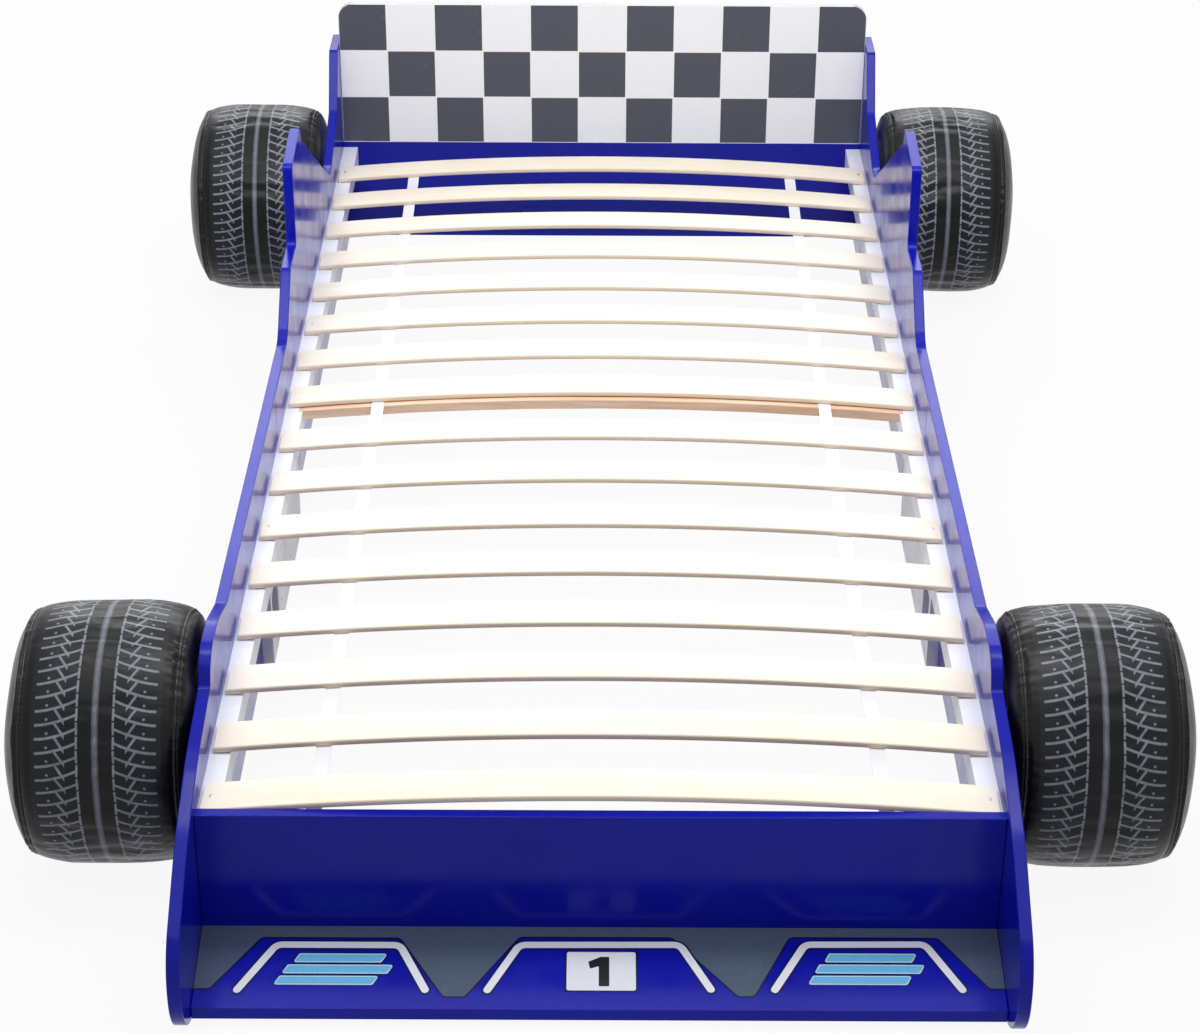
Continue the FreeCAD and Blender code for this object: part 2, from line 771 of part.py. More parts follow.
def wheel_cover(corner):
    name = "cover_%s_%s" % corner
    body = doc.addObject("PartDesign::Body", name)
    skin = "skin_thick"
    outside = turned(body, name + "_outside", "Revolution",
                     [("0", "0"), ("0", "shoulder_radius")] + wheel_corners("0"),
                     {2: tread_crest("seam_inset", "0"), 3: "axis"})
    inside = turned(body, name + "_inside", "Groove",
                    [("0", "0"), ("0", "cover_bore_radius"), (skin, "cover_bore_radius"),
                     (skin, "shoulder_radius")] + wheel_corners(skin),
                    {4: tread_crest("seam_inset + " + skin, skin), 5: "axis"})
    if not inside.Shape.Volume < 0.5 * outside.Shape.Volume:
        raise RuntimeError(name + ": the groove cut nothing")
    return put_on_axle(body, corner, WHEEL_X)


def foam_core(corner):
    name = "foam_%s_%s" % corner
    body = doc.addObject("PartDesign::Body", name)
    inset = "(skin_thick + soft_gap)"
    start = "skin_thick + hub_thick"
    hollow = "seam_radius - foam_wall"
    rim, shoulder, middle = wheel_corners(inset)
    back = "wheel_width - wheel_dome - %s - foam_dome_wall" % inset
    turned(body, name + "_foam", "Revolution",
           [(start, hollow), (start, rim[1]), shoulder, middle, (back, "0"), (back, hollow)],
           {1: tread_crest(start, inset), 2: "axis"})
    return put_on_axle(body, corner, WHEEL_X)


def hub_disc(corner):
    return axle_ring("hub", corner, WHEEL_X + " + skin_thick", "hub_radius", "hub_thick")


for corner in CORNERS:
    keep(wheel_cover(corner), "wheel_cover_%s_%s" % corner)
    keep(foam_core(corner), "wheel_foam_%s_%s" % corner)
    keep(hub_disc(corner), "wheel_hub_%s_%s" % corner)


# ---- check everything, then write one file for each sub-part ----

doc.recompute()
for thing in doc.Objects:
    if "Invalid" in thing.State or "Error" in thing.State:
        raise RuntimeError("%s failed to compute" % thing.Label)
for label, thing in sub_parts.items():
    if thing.Shape.isNull() or not thing.Shape.isValid() or not thing.Shape.Solids:
        raise RuntimeError("%s has no valid solid" % label)

os.makedirs("parts", exist_ok=True)
for label, thing in sub_parts.items():
    thing.Shape.exportStep("parts/%s.step" % label)
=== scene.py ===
# %% [markdown]
# # A child's bed in the shape of a racing car
# The bed arrives as a fixed frame: every board, slat, screw and wheel at its true size and place.
# What it lacks is looks. This lesson gives each piece the finish of the real one, and rebuilds the
# pieces whose surface matters most: crowned birch slats, woven straps, screw heads, the print on
# the nose shelf and the four stuffed wheels.
# The frame could be modelled again here, but loading it keeps every piece where it belongs.

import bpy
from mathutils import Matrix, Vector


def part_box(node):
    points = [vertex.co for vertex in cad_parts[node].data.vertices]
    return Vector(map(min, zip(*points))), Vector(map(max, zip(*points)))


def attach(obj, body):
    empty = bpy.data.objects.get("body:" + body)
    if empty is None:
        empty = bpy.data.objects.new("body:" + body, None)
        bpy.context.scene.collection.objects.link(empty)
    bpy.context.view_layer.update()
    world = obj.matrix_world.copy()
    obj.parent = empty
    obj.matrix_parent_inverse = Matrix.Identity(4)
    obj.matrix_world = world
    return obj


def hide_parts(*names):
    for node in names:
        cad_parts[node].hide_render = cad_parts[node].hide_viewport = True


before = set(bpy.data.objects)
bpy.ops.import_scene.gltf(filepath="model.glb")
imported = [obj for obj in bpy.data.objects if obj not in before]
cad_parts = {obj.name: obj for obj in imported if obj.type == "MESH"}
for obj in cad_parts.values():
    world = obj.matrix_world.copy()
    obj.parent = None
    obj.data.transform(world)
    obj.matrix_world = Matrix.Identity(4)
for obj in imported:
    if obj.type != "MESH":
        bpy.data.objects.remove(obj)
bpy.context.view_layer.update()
print("pieces in the frame:", len(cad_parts))

# %% Modules and the unit of length
import math
from collections import namedtuple

import bmesh
import bpy
import numpy as np
from mathutils import Matrix, Vector

MM = 0.001
SIDES = {"left": -1, "right": 1}
HALVES = ("front", "rear")
print("one millimetre is", MM, "in the scene")

# %% [markdown]
# ## Colours as they are seen
# A colour as given here is stored in 0 to 255 steps that follow the eye. A shader wants the
# amount of light instead. Amounts of light could be typed in at once, but such numbers tell a
# reader little. One small function turns the first into the second, so that every colour below
# can be written as it looks.

# %% A colour helper


def tint(red, green, blue):
    """A colour as it is seen, in 0 to 255, turned into the linear colour of a shader."""
    linear = []
    for part in (red, green, blue):
        share = part / 255
        linear.append(share / 12.92 if share <= 0.04045 else ((share + 0.055) / 1.055) ** 2.4)
    return (*linear, 1.0)


print("middle grey is", tint(128, 128, 128)[0])

# %% [markdown]
# ## Node maths written as Python
# A pattern such as a checker or a tyre tread is a formula. Building it from Math nodes by hand is
# slow to write and hard to read. Here a small class wraps a node's output, and Python's own signs
# add the nodes: `1 - mask` or `abs(x) < 3` read as they would on paper.

# %% Wires with Python's signs


class Wire:
    """An output of a node. Signs on it add Math nodes to the same tree."""

    def __init__(self, tree, socket):
        self.tree = tree
        self.socket = socket

    def math(self, operation, *values, clamp=False):
        settings = {"operation": operation, "use_clamp": clamp}
        return self.tree.node("ShaderNodeMath", settings, dict(enumerate(values)))

    def __add__(self, other):
        return self.math("ADD", self, other)

    __radd__ = __add__

    def __sub__(self, other):
        return self.math("SUBTRACT", self, other)

    def __rsub__(self, other):
        return self.math("SUBTRACT", other, self)

    def __mul__(self, other):
        return self.math("MULTIPLY", self, other)

    __rmul__ = __mul__

    def __truediv__(self, other):
        return self.math("DIVIDE", self, other)

    def __rtruediv__(self, other):
        return self.math("DIVIDE", other, self)

    def __pow__(self, other):
        return self.math("POWER", self, other)

    def __rpow__(self, other):
        return self.math("POWER", other, self)

    def __lt__(self, other):
        return self.math("LESS_THAN", self, other)

    def __gt__(self, other):
        return self.math("GREATER_THAN", self, other)

    def __abs__(self):
        return self.math("ABSOLUTE", self)

    def floor(self):
        return self.math("FLOOR", self)

    def clamped(self):
        return self.math("ADD", self, 0.0, clamp=True)

    def larger(self, other):
        return self.math("MAXIMUM", self, other)

    def smaller(self, other):
        return self.math("MINIMUM", self, other)

    def to_whole(self):
        """Distance to the nearest whole number."""
        return self.math("PINGPONG", self, 0.5)

    def sine(self):
        return self.math("SINE", self)


print("besides its signs, a wire knows:", [name for name in vars(Wire) if name[0] != "_"])

# %% [markdown]
# ## One method for every other node
# A node has settings, such as its operation, and sockets, which hold a value or a link. Added one
# by one, each node takes four or five lines, and the pattern is lost among them, so one method
# adds any node. Settings can change which sockets a node has, so they are set first. A finish is
# a material built this way: it starts from one Principled shader, with what is constant written
# on the shader itself.

# %% A builder of nodes


class Nodes:
    """Builds nodes in one tree."""

    def __init__(self, tree):
        self.tree = tree

    def node(self, kind, settings=None, sockets=None, output=0):
        """Add a node: first its settings, then the values or wires of its sockets."""
        made = self.tree.nodes.new(kind)
        for name, value in (settings or {}).items():
            setattr(made, name, value)
        for key, value in (sockets or {}).items():
            wires = value if isinstance(value, list) else [value]
            for wire in wires:
                if isinstance(wire, Wire):
                    self.tree.links.new(wire.socket, made.inputs[key])
                else:
                    made.inputs[key].default_value = wire
        return Wire(self, made.outputs[output])

    def parts(self, vector):
        """The X, Y and Z of a vector."""
        split = self.node("ShaderNodeSeparateXYZ", {}, {0: vector})
        return [Wire(self, socket) for socket in split.socket.node.outputs]


print("node builder ready")

# %% A finish is a material


class Finish(Nodes):
    """A material with one Principled shader."""

    def __init__(self, name, constants):
        self.material = bpy.data.materials.new(name)
        self.material.use_nodes = True
        super().__init__(self.material.node_tree)
        self.shader = self.tree.nodes["Principled BSDF"]
        for socket, value in constants.items():
            self.shader.inputs[socket].default_value = value

    def paint(self, socket, wire):
        """Let a wire feed a socket of the shader."""
        self.tree.links.new(wire.socket, self.shader.inputs[socket])

    def point(self):
        """The place of a point on the piece, in metres."""
        return self.node("ShaderNodeTexCoord", output="Object")

    def stretched(self, vector, x, y, z, shift=(0, 0, 0)):
        """The same place on a scale of its own for each axis, for grain that runs one way."""
        sockets = {0: vector, 1: (x, y, z), 2: shift}
        return self.node("ShaderNodeVectorMath", {"operation": "MULTIPLY_ADD"}, sockets)

    def attribute(self, name):
        """A number that is stored on the mesh."""
        return self.node("ShaderNodeAttribute", {"attribute_name": name}, output="Fac")

    def noise(self, vector, scale, detail=2.0, roughness=0.5):
        sockets = {"Vector": vector, "Scale": scale, "Detail": detail, "Roughness": roughness}
        return self.node("ShaderNodeTexNoise", {}, sockets, "Fac")

    def mix(self, share, low, high):
        """From the low colour to the high one."""
        return self.node("ShaderNodeMix", {"data_type": "RGBA"}, {0: share, 6: low, 7: high}, 2)

    def level(self, wire, low, high, new_low=0.0, new_high=1.0):
        """Stretch a range of a wire to a new one, and hold its ends."""
        sockets = {0: wire, 1: low, 2: high, 3: new_low, 4: new_high}
        return self.node("ShaderNodeMapRange", {"clamp": True}, sockets)

    def relief(self, height, distance):
        """Let light see a surface as raised by the height times the distance."""
        sockets = {"Height": height, "Distance": distance, "Strength": 1.0}
        self.paint("Normal", self.node("ShaderNodeBump", {}, sockets, "Normal"))


print("material builder ready")

# %% [markdown]
# ## Placing pieces
# Three steps recur. A mesh becomes an object in the scene, a finished object is hung on the body
# that carries it, and modifiers are turned into a plain mesh. Blender's own buttons do the same
# in a window, but they work on what is selected. Short functions work on the piece they are given.

# %% Piece helpers


def new_piece(name, mesh, finish=None):
    piece = bpy.data.objects.new(name, mesh)
    bpy.context.scene.collection.objects.link(piece)
    if finish:
        mesh.materials.clear()
        mesh.materials.append(finish.material)
    return piece


def settle(piece):
    """Turn a piece's modifiers into its plain mesh."""
    bpy.context.view_layer.update()
    graph = bpy.context.evaluated_depsgraph_get()
    evaluated = piece.evaluated_get(graph)
    mesh = bpy.data.meshes.new_from_object(evaluated, preserve_all_data_layers=True, depsgraph=graph)
    piece.modifiers.clear()
    piece.data = mesh
    return piece


def fit(piece, slot, *nodes, body="frame"):
    """Hang a piece on its body, in the place of the frame's nodes that it refines."""
    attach(piece, body)
    if nodes:
        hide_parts(*nodes)
    return piece


# %% Boards of the frame
CREASE = 50


def merged(node):
    """The frame's loose triangles as one joined mesh in bmesh form."""
    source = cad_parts[node].data
    shape = bmesh.new()
    spots = [shape.verts.new(vertex.co) for vertex in source.vertices]
    for triangle in source.polygons:
        shape.faces.new([spots[i] for i in triangle.vertices])
    bmesh.ops.remove_doubles(shape, verts=shape.verts, dist=0.01 * MM)
    return shape


def as_mesh(shape, name):
    mesh = bpy.data.meshes.new(name)
    shape.to_mesh(mesh)
    shape.free()
    return mesh


def shade(mesh, crease=CREASE):
    """Shade a mesh round, but not over edges that turn more than the crease, in degrees."""
    mesh.shade_smooth()
    mesh.set_sharp_from_angle(angle=math.radians(crease))


def smooth_board(node, finish, slot):
    """A board of the frame with its soft edges shaded round and its faces flat."""
    mesh = as_mesh(merged(node), node + "_board")
    shade(mesh)
    board = new_piece(node + "_finished", mesh, finish)
    normals = board.modifiers.new("flat faces", "WEIGHTED_NORMAL")
    normals.keep_sharp = True
    normals.weight = 100
    return fit(settle(board), slot, node)


print("boards to finish:", [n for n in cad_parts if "panel" in n or "board" in n])

# %% [markdown]
# ## Blue lacquer
# The side panels are fibreboard under a deep blue lacquer. It is glossy enough to mirror the slats
# at a flat angle, yet not a perfect mirror: spraying leaves a faint ripple, and handling leaves
# patches that are a little duller. A plain glossy blue would look like plastic, so the ripple
# goes into the relief and the patches into the roughness.

# %% Lacquer for panels and boards


def lacquer(name, colour, deep):
    finish = Finish(name, {"Specular IOR Level": 0.14})
    here = finish.point()
    cloud = finish.noise(here, 3.0, 3.0)
    finish.paint("Base Color", finish.mix(finish.level(cloud, 0.35, 0.65), deep, colour))
    patches = finish.noise(here, 14.0, 5.0, 0.62)
    finish.paint("Roughness", finish.level(patches, 0.35, 0.72, 0.13, 0.24))
    ripple = finish.noise(here, 260.0, 1.0)
    finish.relief(ripple, 0.02 * MM)
    return finish


blue_lacquer = lacquer("blue_lacquer", tint(13, 22, 162), tint(10, 18, 152))
for half in HALVES:
    for side in SIDES:
        smooth_board("side_panel_%s_%s" % (half, side), blue_lacquer, "panel_lacquer")
smooth_board("front_board", blue_lacquer, "panel_lacquer_boards")

# %% [markdown]
# ## The checkered headboard
# The front of the headboard carries a printed band of dark grey and white squares, three rows
# deep, and blue lacquer shows below it. The squares could be cut as separate faces, but print has
# no thickness: a formula on the point's place does it. Column plus row is even on dark squares,
# and a hair of white stays between two dark corners.

# %% Checker print
CELL_WIDE = 83.64 * MM
CELL_TALL = 84.9 * MM
CHECKER_ROWS = 3
PRINT_GAP = 0.012
PRINT_DEPTH = 0.6 * MM
head_low, head_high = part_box("headboard")


def checkered():
    finish = Finish("checker_print", {"Specular IOR Level": 0.2})
    x, y, z = finish.parts(finish.point())
    facing = finish.parts(finish.node("ShaderNodeNewGeometry", output="Normal"))[1]
    across = (x - head_low.x) / CELL_WIDE
    down = (head_high.z - z) / CELL_TALL
    parity = (across.floor() + down.floor()) / 2
    dark = parity.to_whole() < 0.25
    inside = across.to_whole().smaller(down.to_whole()) > PRINT_GAP
    shade = finish.mix(dark * inside, tint(249, 249, 251), tint(80, 84, 94))
    front = (y < head_low.y + PRINT_DEPTH) * (down < CHECKER_ROWS)
    grain = finish.noise(finish.point(), 900.0, 1.0)
    shade = finish.mix(finish.level(grain, 0.3, 0.7, 0.0, 0.03), shade, tint(150, 152, 160))
    # painted light: the headboard's blue is the panels' lacquer made darker, as painted shade, and
    # every face that looks neither front nor back is painted pale grey, as a painted highlight on its
    # edges
    board = finish.mix(abs(facing) < 0.5, tint(13, 22, 150), tint(196, 199, 206))
    finish.paint("Base Color", finish.mix(front, board, shade))
    patches = finish.noise(finish.point(), 12.0, 4.0, 0.6)
    finish.paint("Roughness", finish.level(patches, 0.35, 0.7, 0.18, 0.3))
    finish.relief(finish.noise(finish.point(), 260.0, 1.0), 0.02 * MM)
    return finish


smooth_board("headboard", checkered(), "headboard_print")
print("squares:", round((head_high.x - head_low.x) / CELL_WIDE), "columns of", CHECKER_ROWS)

# %% [markdown]
# ## The nose shelf and its print
# The sloping shelf is blue, with a grey printed field whose lower edge steps down round three
# flat-topped shapes, like the vents on a car's nose. White arches, a numbered plate and two sets
# of slanted speed bars stand in them. A shader formula for so many rounded outlines would be
# long, so each is cut as a thin film that lies on the board: a few corner points, rounded by a
# function, and a ribbon function for the lines.

# %% Outlines with round corners
ROUND_STEPS = 6


def rounded(corners, radius, closed=True):
    """The corners of an outline, each turned into a short arc."""
    points = [Vector(corner) for corner in corners]
    result = []
    for i, corner in enumerate(points):
        if not closed and i in (0, len(points) - 1):
            result.append(corner)
            continue
        before = points[i - 1] - corner
        after = points[(i + 1) % len(points)] - corner
        turn = before.angle(after)
        reach = min(radius / math.tan(turn / 2), 0.45 * before.length, 0.45 * after.length)
        start = corner + before.normalized() * reach
        end = corner + after.normalized() * reach
        for step in range(ROUND_STEPS + 1):
            t = step / ROUND_STEPS
            result.append(start * (1 - t) ** 2 + corner * 2 * t * (1 - t) + end * t ** 2)
    return result


def ribbon(corners, width, radius):
    """The outline of a line of that width with round corners and round ends."""
    middle = rounded(corners, radius, closed=False)
    left = []
    right = []
    for i, point in enumerate(middle):
        along = (middle[min(i + 1, len(middle) - 1)] - middle[max(i - 1, 0)]).normalized()
        across = Vector((-along.y, along.x)) * width / 2
        left.append(point + across)
        right.append(point - across)
    ends = []
    for tip, start in ((middle[-1], left[-1]), (middle[0], right[0])):
        arm = start - tip
        turns = [Matrix.Rotation(-math.pi * k / ROUND_STEPS, 2) for k in range(1, ROUND_STEPS)]
        ends.append([tip + turn @ arm for turn in turns])
    return left + ends[0] + right[::-1] + ends[1]


print("a square with round corners has", len(rounded([(0, 0), (1, 0), (1, 1), (0, 1)], 0.2)), "points")

# %% Films that lie on the shelf
shelf_low, shelf_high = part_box("nose_shelf")
SHELF_THICK = 15 * MM
SHELF_DEEP = shelf_high.y - shelf_low.y
SHELF_DROP = shelf_high.z - shelf_low.z - SHELF_THICK
FILM_SUNK = -0.05


def on_shelf(x, down, lift):
    """A point on the sloping shelf: X, and the distance from the front board, in millimetres."""
    y = shelf_high.y - down * MM
    z = shelf_high.z - SHELF_DROP * (down * MM / SHELF_DEEP)
    return Vector((x * MM, y, z + lift * MM))


def film(name, outlines, lift, finish):
    """A thin film cut to the outlines, pressed onto the shelf. Its lift is in millimetres."""
    shape = bmesh.new()
    for outline in outlines:
        tops = [shape.verts.new(on_shelf(x, down, lift)) for x, down in outline]
        unders = [shape.verts.new(on_shelf(x, down, FILM_SUNK)) for x, down in outline]
        shape.faces.new(tops)
        shape.faces.new(unders[::-1])
        for i in range(len(outline)):
            j = (i + 1) % len(outline)
            shape.faces.new((tops[i], unders[i], unders[j], tops[j]))
    bmesh.ops.recalc_face_normals(shape, faces=shape.faces)
    return fit(new_piece(name, as_mesh(shape, name), finish), "shelf_film")


print("shelf is %.0f mm deep and drops %.0f mm" % (SHELF_DEEP / MM, SHELF_DROP / MM))

# %% Print colours


def print_ink(name, colour, speck):
    """Printed film: a flat colour with a faint grain under a satin coat."""
    finish = Finish(name, {"Specular IOR Level": 0.12})
    here = finish.point()
    grain = finish.noise(here, 1400.0, 2.0)
    finish.paint("Base Color", finish.mix(finish.level(grain, 0.35, 0.65), colour, speck))
    finish.paint("Roughness", finish.level(finish.noise(here, 18.0, 3.0), 0.3, 0.7, 0.2, 0.32))
    return finish


inks = {
    "slate": print_ink("print_slate", tint(84, 97, 119), tint(74, 86, 107)),
    "navy": print_ink("print_navy", tint(12, 18, 74), tint(9, 14, 62)),
    "white": print_ink("print_white", tint(236, 239, 246), tint(228, 232, 240)),
    "black": print_ink("print_black", tint(34, 37, 44), tint(28, 31, 37)),
    "sky": print_ink("print_sky", tint(112, 190, 232), tint(104, 181, 226)),
    "pale": print_ink("print_pale", tint(196, 228, 244), tint(188, 222, 240)),
}
# painted light: the shelf's lacquer is the panels' blue made a little lighter, because the shelf looks
# up into the light
shelf_blue = lacquer("shelf_blue", tint(14, 22, 168), tint(11, 18, 160))
smooth_board("nose_shelf", shelf_blue, "shelf_film")
print("inks:", sorted(inks))

# %% The grey field and the white arches
VENT_EDGE = [
    (-459.5, 92), (-441, 92), (-389, 18), (-230, 18), (-177, 102), (-152, 102), (-92, 16),
    (83, 16), (156, 100), (175.5, 100), (219, 15), (389, 15), (442, 88), (459.5, 88),
]
ARCHES = [
    [(-410, 93), (-371, 28), (-229.5, 28), (-197.5, 92)],
    [(-127, 92), (-92, 27), (92, 26), (126, 90)],
    [(198.5, 90), (236, 25), (374, 24), (411, 89)],
]
EDGE_ROUND = 9
ARCH_ROUND = 13
ARCH_WIDTH = 9
RIM = 2.2
LIFTS = {"field": 0.10, "rim": 0.14, "arch rim": 0.16, "bar edge": 0.18, "plate": 0.20,
         "arch": 0.22, "bar": 0.24, "numeral": 0.26}

vent_line = rounded(VENT_EDGE, EDGE_ROUND, closed=False)
field = [Vector((-459.5, 0.5)), *vent_line, Vector((459.5, 0.5))]
field_rim = ribbon(VENT_EDGE, RIM, EDGE_ROUND)
arch_rims = [ribbon(arch, ARCH_WIDTH + 2 * RIM, ARCH_ROUND) for arch in ARCHES]
arches = [ribbon(arch, ARCH_WIDTH, ARCH_ROUND) for arch in ARCHES]
film("nose_print_field", [field], LIFTS["field"], inks["slate"])
film("nose_print_field_rim", [field_rim], LIFTS["rim"], inks["navy"])
film("nose_print_arch_rims", arch_rims, LIFTS["arch rim"], inks["navy"])
film("nose_print_arches", arches, LIFTS["arch"], inks["white"])
print("arches:", len(ARCHES))

# %% The numbered plate and the speed bars
PLATE = [(-37.5, 37), (41.2, 37), (41.2, 92), (-37.5, 92)]
NUMERAL = [(-13, 51), (1, 44), (11, 44), (11, 86), (-1, 86), (-1, 57.5), (-11, 61)]
BAR_ROWS = [(-42, 56), (-54, 64), (-62, 48)]
BAR_SLANT = 14
BAR_TALL = 10
BAR_RIM = 2.8
BAR_EDGE = 1.4


def grown(corners, margin):
    """A four-cornered outline pushed out by a margin on every side."""
    middle = sum((Vector(c) for c in corners), Vector((0, 0))) / len(corners)
    wide = [(x + math.copysign(margin, x - middle.x), y) for x, y in corners]
    return [(x, y + math.copysign(margin, y - middle.y)) for x, y in wide]


def speed_bars(centre, low, high):
    """Three slanted bars, one below the other, each as the corners of its outline."""
    pitch = (high - low - BAR_TALL) / (len(BAR_ROWS) - 1)
    lean = BAR_SLANT * BAR_TALL / (high - low)
    bars = []
    for row, (left, right) in enumerate(BAR_ROWS):
        top = low + row * pitch
        bottom = top + BAR_TALL
        bars.append([(centre + left + lean, top), (centre + right + lean, top),
                     (centre + right - lean, bottom), (centre + left - lean, bottom)])
    return bars


bars = speed_bars(-303.5, 42, 84) + speed_bars(303, 39, 81)
bar_rims = [rounded(grown(bar, BAR_RIM), 4) for bar in bars]
bar_edges = [rounded(grown(bar, BAR_EDGE), 3) for bar in bars]
film("nose_print_plate_rim", [rounded(grown(PLATE, RIM), 4)], LIFTS["rim"], inks["navy"])
film("nose_print_plate", [rounded(PLATE, 3)], LIFTS["plate"], inks["white"])
film("nose_print_numeral", [rounded(NUMERAL, 1)], LIFTS["numeral"], inks["black"])
film("nose_print_bar_rims", bar_rims, LIFTS["rim"], inks["navy"])
film("nose_print_bar_edges", bar_edges, LIFTS["bar edge"], inks["pale"])
film("nose_print_bars", [rounded(bar, 2) for bar in bars], LIFTS["bar"], inks["sky"])
print("speed bars:", len(bars))

# %% [markdown]
# ## Birch for the slats
# The slats are laminated birch: thin veneers glued and pressed in a bent mould, then sanded. The
# broad faces are pale with a soft lengthwise grain, and the long edges show the glued layers as
# fine stripes. A picture of wood would repeat on every slat, so noise draws the grain instead.
# Each slat is its own piece of wood: a number stored on it shifts the grain and the tone. The
# stripes come from a second number, the height within the slat.

# %% Birch finish
VENEERS = 4.5
GRAIN_SHIFT = 31.0


def birch():
    finish = Finish("birch", {"Specular IOR Level": 0.32})
    tone = finish.attribute("tone")
    layer = finish.attribute("layer")
    cut = finish.attribute("cut_face")
    here = finish.point()
    shift = tone * GRAIN_SHIFT
    long_grain = finish.stretched(here, 1.6, 22.0, 22.0, shift)
    fibre = finish.stretched(here, 5.0, 420.0, 420.0, shift)
    broad = finish.noise(long_grain, 1.3, 4.0, 0.6)
    fine = finish.noise(fibre, 1.0, 2.0)
    face = finish.mix(finish.level(broad, 0.38, 0.68), tint(248, 241, 226), tint(243, 232, 211))
    face = finish.mix(finish.level(fine, 0.5, 0.75, 0.0, 0.18), face, tint(226, 206, 176))
    face = finish.mix(finish.level(tone, 0.0, 1.0, 0.0, 0.3), face, tint(246, 233, 213))
    stripe = (layer * VENEERS + finish.noise(fibre, 0.35, 1.0) * 0.25).to_whole() * 2
    edge = finish.mix(finish.level(stripe, 0.25, 0.75), tint(246, 235, 220), tint(222, 198, 168))
    edge = finish.mix(finish.level(fine, 0.35, 0.7, 0.0, 0.35), edge, tint(236, 219, 197))
    finish.paint("Base Color", finish.mix(cut, face, edge))
    finish.paint("Roughness", finish.level(broad, 0.3, 0.7, 0.42, 0.55))
    finish.relief(fine, 0.03 * MM)
    return finish


birch_wood = birch()
print("birch nodes:", len(birch_wood.material.node_tree.nodes))

# %% [markdown]
# ## One slat, bent to its arc
# A slat is a flat bar bent to a shallow arc, with its long edges sanded round. The crown, length
# and width are read from the frame. Bending a straight bar with a modifier would work too, but the
# arc is one formula, and the formula keeps the ends cut upright as they are on the bed.

# %% Slat mesh
slat_low, slat_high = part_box("slat_02")
SLAT_THICK = 8 * MM
SLAT_EDGE_ROUND = 2.4 * MM
SLAT_STATIONS = 48
CUT_FACE_TURN = 0.6
slat_half = slat_high.x
slat_crown = slat_high.z - slat_low.z - SLAT_THICK
arc_radius = (slat_half ** 2 + slat_crown ** 2) / (2 * slat_crown)
arc_centre = slat_low.z + slat_crown - arc_radius


def arc_height(x, above=0.0):
    """Height of the slats' underside at this X, or of a line that far above it."""
    return arc_centre + math.sqrt((arc_radius + above) ** 2 - x ** 2)


def bar_section(width, thick, radius, steps=3):
    """A rectangle with round corners: points across the width and up the thickness."""
    corners = [(width - radius, radius, -90), (width - radius, thick - radius, 0),
               (radius, thick - radius, 90), (radius, radius, 180)]
    points = []
    for y, h, start in corners:
        for step in range(steps + 1):
            angle = math.radians(start + 90 * step / steps)
            points.append((y + radius * math.cos(angle), h + radius * math.sin(angle)))
    return points


print("crown %.0f mm, arc radius %.2f m" % (slat_crown / MM, arc_radius))

# %% Join sections into a bar


def closed_bar(shape, rings):
    """Join rings of points into a closed bar, and return its two end faces."""
    for one, two in zip(rings, rings[1:]):
        for i in range(len(one)):
            j = (i + 1) % len(one)
            shape.faces.new((one[i], one[j], two[j], two[i]))
    ends = [shape.faces.new(rings[0]), shape.faces.new(rings[-1])]
    bmesh.ops.recalc_face_normals(shape, faces=shape.faces)
    return ends


def slat_mesh():
    shape = bmesh.new()
    layer = shape.verts.layers.float.new("layer")
    cut_face = shape.faces.layers.float.new("cut_face")
    section = bar_section(slat_high.y - slat_low.y, SLAT_THICK, SLAT_EDGE_ROUND)
    rings = []
    for station in range(SLAT_STATIONS + 1):
        x = slat_half * (2 * station / SLAT_STATIONS - 1)
        ring = []
        for y, above in section:
            spot = shape.verts.new((x, y, arc_height(x, above)))
            spot[layer] = above / SLAT_THICK
            ring.append(spot)
        rings.append(ring)
    ends = closed_bar(shape, rings)
    for face in shape.faces:
        face[cut_face] = float(face in ends or abs(face.normal.y) > CUT_FACE_TURN)
    return as_mesh(shape, "slat")


one_slat = slat_mesh()
print("faces of a slat:", len(one_slat.polygons))

# %% [markdown]
# ## Sixteen slats by Geometry Nodes
# The slats repeat at a steady pitch in each half of the bed. Copying objects in a loop would do,
# but a node recipe is reusable: it takes the count, the first place and the pitch as named
# inputs, gives every copy a random tone from a fixed seed, and makes the result real. One class
# wraps such a recipe the way a finish wraps a material.

# %% A recipe for geometry


class Recipe(Nodes):
    """A geometry node group with named inputs, whose result becomes a plain mesh."""

    def __init__(self, name, inputs):
        group = bpy.data.node_groups.new(name, "GeometryNodeTree")
        super().__init__(group)
        for label, kind in {"Geometry": "Geometry", **inputs, "Material": "Material"}.items():
            group.interface.new_socket(name=label, in_out="INPUT", socket_type="NodeSocket" + kind)
        group.interface.new_socket(name="Geometry", in_out="OUTPUT", socket_type="NodeSocketGeometry")
        self.entry = group.nodes.new("NodeGroupInput")
        self.way_out = group.nodes.new("NodeGroupOutput")

    def given(self, label):
        return Wire(self, self.entry.outputs[label])

    def end_with(self, shape):
        real = self.node("GeometryNodeRealizeInstances", {}, {"Geometry": shape})
        sockets = {"Geometry": real, "Material": self.given("Material")}
        painted = self.node("GeometryNodeSetMaterial", {}, sockets)
        self.tree.links.new(painted.socket, self.way_out.inputs["Geometry"])

    def run(self, piece, finish, values):
        """Set the inputs by their identifiers, then keep the result as a plain mesh."""
        modifier = piece.modifiers.new(self.tree.name, "NODES")
        modifier.node_group = self.tree
        values = {**values, "Material": finish.material}
        for item in self.tree.interface.items_tree:
            if item.in_out == "INPUT" and item.name in values:
                modifier[item.identifier] = values[item.name]
        return settle(piece)


print("recipe class ready")

# %% The recipe for rows of bars


